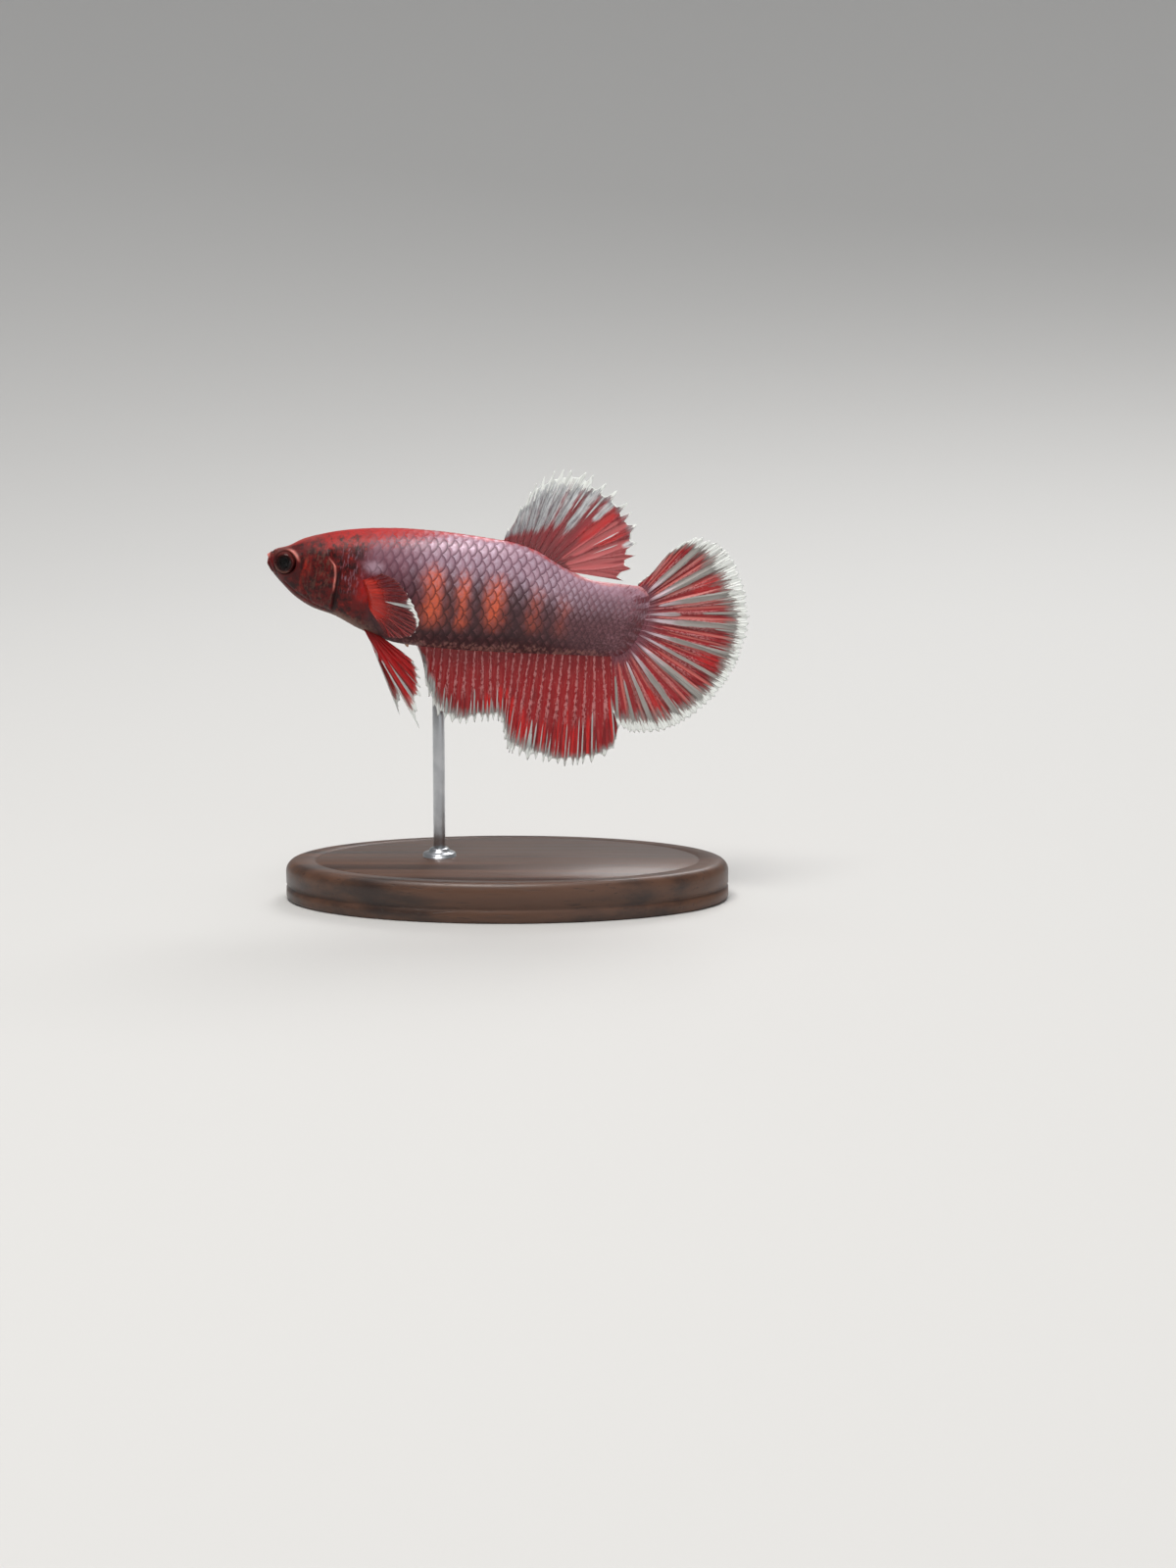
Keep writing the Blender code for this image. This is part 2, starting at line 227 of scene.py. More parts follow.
def apply_modifier(obj: Piece, kind: str, **settings: Any) -> None:
    """Add a modifier and apply it."""
    modifier = obj.modifiers.new(kind.title(), kind)
    for key, value in settings.items():
        setattr(modifier, key, value)
    pick(obj)
    bpy.ops.object.modifier_apply(modifier=modifier.name)


class Slot(str, Enum):
    """The record's material slots."""

    SKIN = "skin"
    EYE = "eye"
    FIN = "fin"
    WOOD = "stand_wood"
    STEEL = "stand_steel"


class Side(Enum):
    """The fish's right and left."""

    RIGHT = "right"
    LEFT = "left"

    @property
    def hand(self) -> int:
        """The sign of w on this side."""
        return 1 if self is Side.RIGHT else -1


def dress(obj: Piece, material: Material, slot: Slot, *nodes: str) -> Piece:
    """Finish a piece: material, smooth shading, body and the nodes it stands for."""
    obj.data.materials.clear()
    obj.data.materials.append(material)
    obj.data.shade_smooth()
    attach(obj, "root")
    if nodes:
        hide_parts(*nodes)
    obj.data.calc_loop_triangles()
    LOG.info("%s: %d triangles", obj.name, len(obj.data.loop_triangles))
    return obj


# --- shader graph -----------------------------------------------------------------


def operator_for(operation: str, flipped: bool = False) -> Callable[["Value", Any], "Value"]:
    """Make the method behind a Python operator; flipped puts the value second."""
    def apply(value: "Value", other: Any) -> "Value":
        """Add the Math node."""
        return value.tree.math(operation, *((other, value) if flipped else (value, other)))
    return apply


class Value:
    """A number socket that takes part in Python arithmetic."""

    def __init__(self, tree: "Tree", socket: Socket) -> None:
        """Wrap a socket of a tree."""
        self.tree = tree
        self.socket = socket

    def math(self, operation: str, *others: Any) -> "Value":
        """Add a Math node with this value first."""
        return self.tree.math(operation, self, *others)

    __add__ = __radd__ = operator_for("ADD")
    __sub__ = operator_for("SUBTRACT")
    __rsub__ = operator_for("SUBTRACT", flipped=True)
    __mul__ = __rmul__ = operator_for("MULTIPLY")
    __truediv__ = operator_for("DIVIDE")
    __pow__ = operator_for("POWER")

    def smooth(self, low: float, high: float) -> "Value":
        """Rise smoothly from 0 at low to 1 at high."""
        made = self.tree.node("ShaderNodeMapRange", {"interpolation_type": "SMOOTHSTEP"},
                              {"Value": self, "From Min": low, "From Max": high})
        return Value(self.tree, made.outputs["Result"])

    def hump(self, centre: float, width: float) -> "Value":
        """Make a smooth hump of height 1 and the given half width."""
        away = (self - centre) / width
        return (away * away * -1).math("EXPONENT")

    def band(self, low: float, high: float, soft: float) -> "Value":
        """Be 1 between two edges and 0 outside, with soft flanks."""
        return self.smooth(low - soft, low + soft) * (1 - self.smooth(high - soft, high + soft))

    def clamp(self) -> "Value":
        """Keep between 0 and 1."""
        return self.math("MAXIMUM", 0.0).math("MINIMUM", 1.0)


class Tree:
    """A material's node graph, with one Principled shader."""

    def __init__(self, name: str, **constants: Any) -> None:
        """Start a material; constants are the shader's fixed sockets."""
        self.material = bpy.data.materials.new(name)
        self.material.use_nodes = True
        self.graph = self.material.node_tree
        self.shader = self.graph.nodes["Principled BSDF"]
        self.finish(**constants)

    def node(self, kind: str, settings: dict[str, Any] | None = None,
             inputs: dict[Any, Any] | None = None) -> bpy.types.Node:
        """Add a node.

        Args:
            kind: the node's type.
            settings: properties, set first.
            inputs: values or links of its sockets, by name or place.

        Returns:
            The node.
        """
        made = self.graph.nodes.new(kind)
        for key, value in (settings or {}).items():
            setattr(made, key, value)
        for key, value in (inputs or {}).items():
            self.plug(made.inputs[key], value)
        return made

    def plug(self, socket: Socket, value: Any) -> None:
        """Link a socket or set its value."""
        if isinstance(value, Value):
            value = value.socket
        if isinstance(value, Socket):
            self.graph.links.new(value, socket)
        else:
            socket.default_value = value

    def math(self, operation: str, *terms: Any) -> Value:
        """Add a Math node over values and numbers."""
        made = self.node("ShaderNodeMath", {"operation": operation}, dict(enumerate(terms)))
        return Value(self, made.outputs[0])

    def attribute(self, name: str) -> Value:
        """Read a number stored on the mesh."""
        return Value(self, self.node("ShaderNodeAttribute", {"attribute_name": name})
                     .outputs["Fac"])

    def place(self) -> Socket:
        """Read the point in the row frame, in metres."""
        return self.node("ShaderNodeTexCoord").outputs["Object"]

    def in_fish(self) -> Socket:
        """Read the point in the fish's frame: u, w and v in millimetres."""
        return self.node("ShaderNodeMapping", {"vector_type": "TEXTURE"},
                         {"Vector": self.place(),
                          "Location": (ANATOMY.snout_x * MM, 0, ANATOMY.snout_z * MM),
                          "Rotation": (0, ANATOMY.nose_up, 0),
                          "Scale": (MM, MM, MM)}).outputs["Vector"]

    def pair(self, x: Any, y: Any) -> Socket:
        """Join two values into a vector."""
        return self.node("ShaderNodeCombineXYZ", None, {"X": x, "Y": y, "Z": 0.0}).outputs[0]

    def noise(self, vector: Any, scale: float | tuple[float, float, float], detail: float = 2.0,
              roughness: float = 0.5) -> Value:
        """Sample a cloud pattern around 0.5.

        Args:
            vector: where to sample it.
            scale: how fine it is, alike on every axis or given for each.
            detail: octaves.
            roughness: share of the finer octaves.

        Returns:
            The value.
        """
        if isinstance(scale, tuple):
            vector = self.node("ShaderNodeMapping", {"vector_type": "POINT"},
                               {"Vector": vector, "Scale": scale}).outputs["Vector"]
            scale = 1.0
        made = self.node("ShaderNodeTexNoise", None, {"Vector": vector, "Scale": scale,
                                                      "Detail": detail, "Roughness": roughness})
        return Value(self, made.outputs["Fac"])

    def mix(self, factor: Any, first: Any, second: Any, blend: str = "MIX") -> Socket:
        """Mix two colours."""
        made = self.node("ShaderNodeMix", {"data_type": "RGBA", "blend_type": blend},
                         {0: factor, 6: first, 7: second})
        return made.outputs[2]

    def bump(self, height: Value, distance: float, strength: float = 1.0) -> None:
        """Emboss the surface by a height, distance in metres."""
        made = self.node("ShaderNodeBump", None, {"Height": height, "Distance": distance,
                                                  "Strength": strength})
        self.plug(self.shader.inputs["Normal"], made.outputs["Normal"])

    def finish(self, **inputs: Any) -> Material:
        """Link or set the shader's sockets and return the material."""
        for key, value in inputs.items():
            name = key.replace("_", " ").title().replace("Ior", "IOR")
            self.plug(self.shader.inputs[name], value)
        return self.material


class Paint:
    """A colour built up in layers."""

    def __init__(self, tree: Tree, ground: Any) -> None:
        """Start from the ground colour."""
        self.tree = tree
        self.colour = ground

    def over(self, mask: Any, colour: Any) -> None:
        """Lay a colour over the others where the mask lets it show."""
        self.colour = self.tree.mix(mask, self.colour, colour)


# --- the fish's form --------------------------------------------------------------


@dataclass(frozen=True)
class Anatomy:
    """The body's own surface, shared by the skin, the scales and the fin roots."""

    nose_up: float = math.radians(8.5)
    snout_x: float = -29.7
    snout_z: float = 43.5
    coat: float = 0.10
    widest_at: float = 0.52
    root_u: float = 45.2
    root_start: float = 40.3
    root_lean: float = 1.0
    root_bulge: float = 2.9
    # u, back, belly, half width, keel
    stations: tuple = (
        (0.0, -0.20, -0.20, 0.00, 1.0),
        (0.1, 0.20, -0.75, 0.55, 1.0),
        (0.9, 1.03, -2.05, 1.42, 1.0),
        (2.3, 1.62, -3.35, 2.12, 1.0),
        (4.2, 2.85, -4.75, 2.70, 1.0),
        (6.5, 3.80, -5.75, 3.25, 1.0),
        (9.0, 4.60, -6.25, 3.65, 1.0),
        (13.0, 5.45, -7.65, 3.95, 1.0),
        (18.0, 6.05, -8.60, 4.00, 1.0),
        (24.0, 6.28, -8.40, 3.70, 1.2),
        (29.0, 6.25, -8.00, 3.25, 1.4),
        (32.5, 5.75, -7.70, 2.85, 1.5),
        (37.0, 3.95, -7.20, 2.15, 1.5),
        (41.0, 2.95, -6.75, 1.65, 1.3),
        (46.5, 3.12, -6.10, 1.15, 1.0),
    )
    eye: tuple = (2.45, -0.42, 1.58)
    eye_radius: float = 1.45
    eye_depth: float = 0.85
    eye_toe_in: float = math.radians(12)
    # v and u of the gill cover's free edge
    gill_edge: tuple = (
        (-6.4, 8.2), (-5.7, 8.7), (-3.1, 9.05), (-1.1, 9.1), (0.3, 8.85), (1.1, 8.1), (2.2, 7.5),
    )
    # bent lines of the head's folds, in u and v
    cleft: tuple = ((0.0, -0.12), (0.45, -0.95), (1.05, -2.0))
    cheek_fold: tuple = ((4.35, 0.5), (4.75, -1.6), (5.15, -3.2), (6.1, -4.6))
    jaw_seam: tuple = ((2.6, -2.9), (4.4, -4.1), (6.6, -5.0), (8.6, -5.6))
    lip_crease: tuple = ((0.55, 0.75), (0.75, -0.2), (1.25, -1.45), (1.5, -2.0))
    # u, v and size
    nostrils: tuple = ((0.72, 0.62, 0.13), (1.15, 1.02, 0.11))
    pectoral_root: tuple = (12.9, -2.4)
    root_height: float = 1.9

    @property
    def length(self) -> float:
        """The lengthwise coordinate at the end of the tail base."""
        return self.root_u + self.root_bulge * math.pi / 2

    def profile(self, u: Array) -> tuple[Array, ...]:
        """Give back, belly, half width, keel and height of the greatest width."""
        table = curve_through([(math.sqrt(row[0]), *row[1:]) for row in self.stations])
        back, belly, half, keel = np.moveaxis(table(np.sqrt(np.maximum(u, 0))), -1, 0)
        return back, belly, half, keel, belly + self.widest_at * (back - belly)

    def base(self, x: Array, angle: Array) -> Array:
        """Place points on the outer form.

        Args:
            x: length along the body, which runs on over the rounded tail base.
            angle: 0 at the back, pi at the belly, rising down the right side.

        Returns:
            Rows of u, w and v.
        """
        cosine, sine = np.cos(angle), np.sin(angle)
        turn = np.clip((x - self.root_u) / self.root_bulge, 0, math.pi / 2)
        shrink = np.cos(turn)
        straight = np.minimum(x, self.root_u)
        lean = np.clip((straight - self.root_start) / (self.root_u - self.root_start), 0, 1)
        ring = straight + self.root_lean * cosine * lean
        back, belly, half, keel, middle = self.profile(ring)
        reach = np.where(cosine > 0, back - middle, middle - belly) * cosine
        power = np.where(cosine > 0, 1.0, keel)
        across = np.sign(sine) * np.abs(sine) ** power * half
        u = (ring + self.root_bulge * np.sin(turn)
             - self.root_lean * cosine * (1 - shrink) * lean)
        return np.stack((u, across * shrink ** 3, middle + reach * shrink), -1)

    def relief(self, points: Array) -> Array:
        """Give the height of the head's folds and the gill cover over the outer form."""
        u, w, v = np.moveaxis(points, -1, 0)
        side = ease(0.3, 1.1, np.abs(w))
        height = np.zeros(np.shape(u))

        # Gill cover: a plate that ends in a lip over the gill opening.
        near = ease(2.4, 1.2, v) * ease(-6.0, -4.6, v) * side
        behind = self.behind_gill(u, v)
        plate = ease(5.2, 7.8, u) * ease(0.10, -0.12, behind)
        slit = hump(behind, 0.28, 0.20)
        sunk = ease(-0.05, 0.1, behind) * ease(2.2, 0.2, behind)
        height += near * (0.11 * plate - 0.17 * slit - 0.05 * sunk)
        height += near * 0.05 * hump(behind, -0.20, 0.14)

        # Fold in front of the gill cover and the soft seam under it.
        fold, _ = off_path(u, v, self.cheek_fold)
        height -= side * 0.09 * hump(fold, 0, 0.16)
        height += side * 0.05 * hump(fold, -0.35, 0.25)
        seam, _ = off_path(u, v, self.jaw_seam)
        height -= side * 0.10 * hump(seam, 0, 0.13)

        # Mouth: a cleft between two lips, and the fold behind the upper one.
        lip, along = off_path(u, v, self.cleft)
        open_part = ease(1.0, 0.86, along)
        height += (0.09 * hump(lip, 0.26, 0.17) + 0.10 * hump(lip, -0.24, 0.17)
                   - 0.30 * hump(lip, 0, 0.085)) * (0.25 + 0.75 * open_part)
        crease, _ = off_path(u, v, self.lip_crease)
        height -= 0.07 * hump(crease, 0, 0.10)

        # Orbit: the skin dives under the eyeball and stands up in a rim round it.
        out = self.from_eye(u, v)
        height -= side * 0.75 * ease(1.42, 1.12, out)
        brow = ease(-0.4, 1.2, v - self.eye[1])
        height += side * (0.05 + 0.17 * brow) * hump(out, 1.58, 0.22)

        # Nostrils on the snout.
        for pit_u, pit_v, size in self.nostrils:
            pit = np.hypot(u - pit_u, v - pit_v)
            height += ease(0.15, 0.5, np.abs(w)) * (
                0.07 * hump(pit, 1.7 * size, 0.6 * size) - 0.16 * hump(pit, 0, 0.8 * size))

        # Fleshy root of the pectoral fin.
        return height + side * 0.22 * ease(1.15, 0.5, self.from_fin_root(u, v, 0.8))

    def behind_gill(self, u: Array, v: Array) -> Array:
        """Measure how far behind the gill cover's edge points lie."""
        return u - curve_through(self.gill_edge)(v)[..., 0]

    def from_eye(self, u: Array, v: Array) -> Array:
        """Measure points' distance from the middle of the eye, seen from the side."""
        return np.hypot(u - self.eye[0], v - self.eye[1])

    def from_fin_root(self, u: Array, v: Array, width: float) -> Array:
        """Measure points from the pectoral fin's root; 1 is the edge of an oval."""
        return np.hypot((u - self.pectoral_root[0]) / width,
                        (v - self.pectoral_root[1]) / self.root_height)

    def flesh(self, x: Array, angle: Array, lift: Any = 0.0) -> Array:
        """Place points on the skin, or lift above it, in the fish's frame."""
        step = 0.02
        here = self.base(x, angle)
        inner = np.clip(x, 0.03, self.length - 0.03)
        along = self.base(inner + step, angle) - self.base(inner - step, angle)
        round_it = self.base(inner, angle + step) - self.base(inner, angle - step)
        normal = np.cross(along, round_it)
        normal /= np.maximum(np.linalg.norm(normal, axis=-1, keepdims=True), 1e-12)
        height = self.relief(here) - self.coat * ease(0.0, 0.6, x) + lift
        return here + normal * height[..., None]

    def world(self, points: Array) -> Array:
        """Turn the fish's frame in millimetres into the row frame in metres."""
        u, w, v = np.moveaxis(points, -1, 0)
        back, up = math.cos(self.nose_up), math.sin(self.nose_up)
        x = self.snout_x + u * back + v * up
        z = self.snout_z - u * up + v * back
        return np.stack((x, w, z), -1) * MM

    def side_at(self, u: Array, v: Array) -> Array:
        """Give how far out the flank lies at a height."""
        back, belly, half, keel, middle = self.profile(u)
        share = (v - middle) / np.where(v > middle, back - middle, middle - belly)
        power = np.where(v > middle, 1.0, keel)
        return half * np.sqrt(np.maximum(1 - share * share, 0)) ** power


@dataclass
class Girth:
    """Even steps round the body, so that rows of scales keep their width."""

    anatomy: Anatomy
    sections: int = 90
    steps: int = 240
    x: Array = field(init=False)
    angles: Array = field(init=False)
    around: Array = field(init=False)

    def __post_init__(self) -> None:
        """Measure each section once."""
        self.x = np.linspace(0, self.anatomy.length, self.sections)
        turn = np.linspace(0, TAU, self.steps + 1)
        x, angle = np.meshgrid(self.x, turn, indexing="ij")
        ring = self.anatomy.base(x, angle)
        arc = np.linalg.norm(np.diff(ring, axis=1), axis=-1).cumsum(1)
        arc = np.concatenate((np.zeros((self.sections, 1)), arc), 1)
        self.around = arc[:, -1]
        share = np.linspace(0, 1, self.steps + 1)
        even = arc / np.maximum(arc[:, -1:], 1e-9) + np.linspace(0, 1e-9, self.steps + 1)
        self.angles = np.array([np.interp(share, row, turn) for row in even])

    def angle(self, x: Array, share: Array) -> Array:
        """Give the angle at a share of the way round."""
        share = share % 1.0
        place = np.clip(x / self.anatomy.length, 0, 1) * (self.sections - 1)
        row = np.minimum(place.astype(int), self.sections - 2)
        column = np.minimum((share * self.steps).astype(int), self.steps - 1)
        across, along = share * self.steps - column, place - row
        table = self.angles
        low = table[row, column] * (1 - across) + table[row, column + 1] * across
        high = table[row + 1, column] * (1 - across) + table[row + 1, column + 1] * across
        return low * (1 - along) + high * along

    def length(self, x: Array) -> Array:
        """Give the distance round the body."""
        return np.interp(x, self.x, self.around)


ANATOMY = Anatomy()


# --- finishes ---------------------------------------------------------------------


class FishTree(Tree):
    """A graph that knows the places on the fish that its markings follow."""

    def __init__(self, name: str, **constants: Any) -> None:
        """Start a material and lay out the fields that the markings share."""
        super().__init__(name, **constants)
        self.at = self.in_fish()
        parts = self.node("ShaderNodeSeparateXYZ", None, {0: self.at}).outputs
        self.u, self.v = Value(self, parts["X"]), Value(self, parts["Z"])
        self.around = self.attribute("around")
        self.grain = self.cloud(2.6, 3)
        self.broad = self.cloud(0.45, 3)
        self.upright = self.cloud((1.5, 1.0, 0.35), 3)
        self.flecks = self.noise(self.at, (3.4, 1.2, 0.9), 3, 0.6)
        # length along the body and share down the flank, with wavering edges
        self.line = self.u + self.broad * 1.6 + self.upright * 1.4
        self.height = self.around + self.broad * 0.10 + self.grain * 0.05

    def cloud(self, scale: float | tuple[float, float, float], detail: float = 2.0) -> Value:
        """Sample a cloud pattern around 0 on the body."""
        return self.noise(self.at, scale, detail) - 0.5

    def spot(self, centre: tuple[float, float], size: tuple[float, float]) -> Value:
        """Make a round soft spot on the flank."""
        across = (self.u - centre[0]) / size[0]
        up = (self.v - centre[1]) / size[1]
        return ((across * across + up * up) * -1).math("EXPONENT")


@dataclass(frozen=True)
class Markings:
    """The live colours of the head and body, the same on skin and scales."""

    lavender: Colour = srgb(176, 138, 154)
    mauve: Colour = srgb(94, 57, 64)
    plum: Colour = srgb(118, 62, 76)
    umber: Colour = srgb(74, 40, 43)
    dusk: Colour = srgb(58, 34, 40)
    orange: Colour = srgb(232, 102, 66)
    scarlet: Colour = srgb(176, 17, 12)
    rose: Colour = srgb(196, 72, 72)
    crimson: Colour = srgb(92, 7, 9)
    maroon: Colour = srgb(34, 5, 6)
    olive: Colour = srgb(96, 62, 52)
    ember: Colour = srgb(160, 34, 22)
    brow: Colour = srgb(98, 38, 32)
    # pink of the upper lip's tip and of the painted highlights on the snout, orbit rim and gill
    # cover
    blush: Colour = srgb(236, 140, 128)
    cream: Colour = srgb(112, 82, 68)
    shell: Colour = srgb(184, 132, 122)
    pearl: Colour = srgb(188, 158, 172)
    petal: Colour = srgb(172, 118, 130)
    wine: Colour = srgb(112, 38, 48)
    mist: Colour = srgb(226, 178, 180)
    # upright bars: where they lie along the body, half width and strength
    orange_bars: tuple = ((21.3, 1.25, 1.0), (24.9, 0.75, 0.85), (29.0, 1.15, 0.9),
                          (34.0, 0.9, 0.35), (37.4, 0.8, 0.25))
    dark_bars: tuple = ((18.6, 0.8, 0.5), (23.2, 0.7, 0.9), (26.8, 0.8, 0.9),
                        (31.6, 1.3, 0.9), (35.8, 0.9, 0.4))
    # centre and size, in u and v, of the marks with a place of their own
    notch: tuple = ((9.35, -4.55), (0.32, 0.95))
    cheek: tuple = ((4.0, -1.7), (1.5, 1.6))
    fin_root: tuple = ((13.0, -2.2), (1.3, 1.9))
    shoulder_spot: tuple = ((13.6, 0.85), (1.35, 0.85))
    # where the tail's streaks meet: back from the snout and below it
    fan_back: float = 41.0
    fan_drop: float = 1.6

    def bars(self, tree: FishTree, rows: tuple) -> Value:
        """Add up upright bars."""
        first, *others = [tree.line.hump(centre, width) * strength
                          for centre, width, strength in rows]
        return sum(others, first).clamp()

    def paint(self, tree: FishTree) -> Socket:
        """Mix the markings and return their colour."""
        paint = Paint(tree, self.lavender)
        for area in (self.flank, self.back_and_head, self.gill_cover, self.eye_and_throat,
                     self.shoulder, self.tail_base):
            area(tree, paint)
        return paint.colour

    def flank(self, tree: FishTree, paint: Paint) -> None:
        """Shade the flank from back to belly and draw its bars and pale lower hem."""
        u, height, grain = tree.u, tree.height, tree.grain
        paint.over(height.smooth(0.26, 0.50), self.mauve)
        paint.over(height.smooth(0.55, 0.84), self.umber)
        paint.over(u.smooth(33, 42) * height.smooth(0.1, 0.3) * 0.7, self.mauve)
        front = (1 - (tree.line + grain * 3).smooth(15.0, 24.5)) * (1 - height.smooth(0.5, 0.7))
        paint.over(front * 0.8, self.plum)
        dark = self.bars(tree, self.dark_bars) * height.band(0.34, 0.90, 0.09)
        paint.over(dark * 0.75, self.dusk)
        glow = self.bars(tree, self.orange_bars) * height.band(0.35, 0.74, 0.07)
        paint.over((glow * (1.05 + grain * 1.6)).clamp(), self.orange)
        fleck = tree.noise(tree.at, (2.6, 1.0, 1.6), 2)
        hem = (height + fleck * 0.08).smooth(0.91, 0.96) * u.smooth(17, 20) * (1 - u.smooth(42, 45))
        paint.over(hem * fleck.smooth(0.40, 0.58) * 0.55, self.shell)

    def back_and_head(self, tree: FishTree, paint: Paint) -> None:
        """Redden the nape, back and ridge, and cloud the crimson head."""
        u, height, grain, upright = tree.u, tree.height, tree.grain, tree.upright
        thin = u.smooth(8.0, 25.0) * 0.16 + (1 - u.smooth(2.0, 7.5)) * 0.14
        back = 1 - (height + thin + grain * 0.16 + upright * 0.14).smooth(0.17, 0.30)
        back = back * (1 - u.smooth(19.0, 27.0)) * (u.smooth(5.0, 9.0) * 0.6 + 0.4)
        ridge = (1 - height.smooth(0.03, 0.085)) * u.smooth(14, 22)
        paint.over(ridge * 0.85, self.rose)
        head = 1 - (tree.line - height.smooth(0.40, 0.65) * 1.2).smooth(11.0, 13.6)
        paint.over(head, self.crimson)
        paint.over(back * (grain * 0.6 + 0.95).clamp(), self.scarlet)
        patch = tree.noise(tree.at, 1.15, 5, 0.6) + upright * 0.35
        dark = patch.smooth(0.42, 0.62) * head * (height + grain * 0.2).band(0.12, 0.94, 0.06)
        paint.over(dark * 0.9, self.maroon)
        warm = tree.noise(tree.at, (1.9, 1.0, 1.2), 4, 0.6)
        paint.over(warm.smooth(0.54, 0.70) * head * 0.55, self.ember)
        flake = tree.flecks.smooth(0.50, 0.70) * u.band(9.4, 14.0, 0.8)
        flake = flake * height.band(0.20, 0.62, 0.06)
        paint.over(flake * 0.42, self.lavender)

    def gill_cover(self, tree: FishTree, paint: Paint) -> None:
        """Add olive flecks, an orange streak, a painted highlight on the free edge and painted
        shadow in the slit and its notch.
        """
        gill, grain, v = tree.attribute("gill"), tree.grain, tree.v
        cover = (tree.u.smooth(3.9, 5.2) * (1 - gill.smooth(-0.4, 0.1))
                 * tree.height.band(0.26, 0.90, 0.06))
        paint.over((tree.flecks + grain * 0.25).smooth(0.47, 0.62) * cover * 0.62, self.olive)
        streak = (tree.line - v * 0.18).hump(5.25, 0.34) * v.band(-3.4, 0.9, 0.6)
        paint.over((streak * (0.62 + grain * 2.4)).clamp(), self.ember)
        # Painted highlight along the gill cover's free edge.
        lip = gill.hump(-0.14, 0.13) * v.band(-2.6, 0.9, 0.5)
        paint.over((lip * (0.75 + grain * 1.2)).clamp(), self.blush)
        # Painted shadow in the gill slit behind the free edge, and in its notch.
        slit = gill.hump(0.20, 0.20) * v.band(-5.6, -0.4, 0.8)
        paint.over(slit * 0.9, self.maroon)
        paint.over(tree.spot(*self.notch) * 0.9, self.maroon)

    def eye_and_throat(self, tree: FishTree, paint: Paint) -> None:
        """Ring the orbit with a painted highlight at its upper rear, pale the throat, pink the
        lips' tip, partly with a painted highlight, and paint a rim light along the snout's top.
        """
        u, v, height, out = tree.u, tree.v, tree.height, tree.attribute("orbit")
        lean = ((u - ANATOMY.eye[0]) * 0.45 + (v - ANATOMY.eye[1]) * 0.9) / 1.6
        brow = (1 - out.smooth(1.7, 2.2)) * (v - ANATOMY.eye[1]).smooth(0.2, 1.0)
        paint.over(brow * 0.8, self.brow)
        # Painted highlight on the orbit's upper rear rim.
        rim = out.hump(1.74, 0.17) * lean.smooth(0.66, 1.0) * tree.around.smooth(0.16, 0.26)
        paint.over(rim * 0.6, self.blush)
        paint.over((1 - out.smooth(1.30, 1.62)) * 0.9, self.maroon)
        paint.over(tree.spot(*self.cheek) * 0.55, self.maroon)
        far = u.smooth(8.0, 10.0) * 0.08
        throat = (height + far + tree.grain * 0.08).smooth(0.89, 0.97) * u.smooth(1.6, 3.0)
        paint.over(throat * (1 - u.smooth(13.5, 16)) * 0.85, self.cream)
        # The upper lip's tip: pink, partly its own colour and partly a painted highlight.
        tip = (1 - u.smooth(0.10, 0.55)) * v.smooth(-0.35, 0.0)
        paint.over(tip * 0.75, self.blush)
        # Painted rim light along the top of the snout and forehead.
        snout = height.hump(0.0, 0.10) * (1 - u.smooth(5.0, 8.0)) * u.smooth(0.4, 1.2)
        paint.over(snout * 0.22, self.blush)

    def shoulder(self, tree: FishTree, paint: Paint) -> None:
        """Redden the root of the pectoral fin and lay the pearly spot above it."""
        paint.over(tree.spot(*self.fin_root) * 0.9, self.scarlet)
        spot = tree.spot(*self.shoulder_spot) + tree.grain * 0.5
        paint.over(spot.smooth(0.10, 0.95) * 0.75, self.pearl)

    def tail_base(self, tree: FishTree, paint: Paint) -> None:
        """Speckle the tail base and start the tail fin's streaks on its end."""
        u, speck = tree.u, tree.cloud(4.2, 3)
        rosy = u.smooth(34, 45) * (speck + tree.broad * 0.4).smooth(-0.10, 0.26)
        paint.over(rosy * 0.5, self.petal)
        crest = (1 - tree.height.smooth(0.02, 0.09)) * u.smooth(36, 40)
        paint.over(crest * 0.6, self.mist)
        back, up = u - self.fan_back, tree.v + self.fan_drop
        reach = (back * back + up * up).math("SQRT") + speck * 1.2
        fan = tree.pair(up.math("ARCTAN2", back) * 9, reach * 0.35)
        streaks = tree.noise(fan, 1.0, 3, 0.6)
        end = reach.smooth(4.3, 6.5) * u.smooth(42.0, 44.0)
        paint.over(end * (1 - streaks.smooth(0.42, 0.56)) * 0.9, self.wine)
        paint.over(end * streaks.smooth(0.50, 0.62) * 0.5, self.petal)


@dataclass(frozen=True)
class SkinFinish:
    """Moist skin."""

    markings: Markings = Markings()

    def material(self) -> Material:
        """Make the skin's material."""
        tree = FishTree("betta_skin", coat_roughness=0.2, specular_ior_level=0.22)
        pore = tree.noise(tree.at, 7.0, 4, 0.6)
        tree.bump(pore, 0.00005, 0.7)
        return tree.finish(base_color=self.markings.paint(tree), roughness=0.40 + pore * 0.16,
                           coat_weight=0.05 + (1 - tree.u.smooth(0.0, 6.0)) * 0.10)


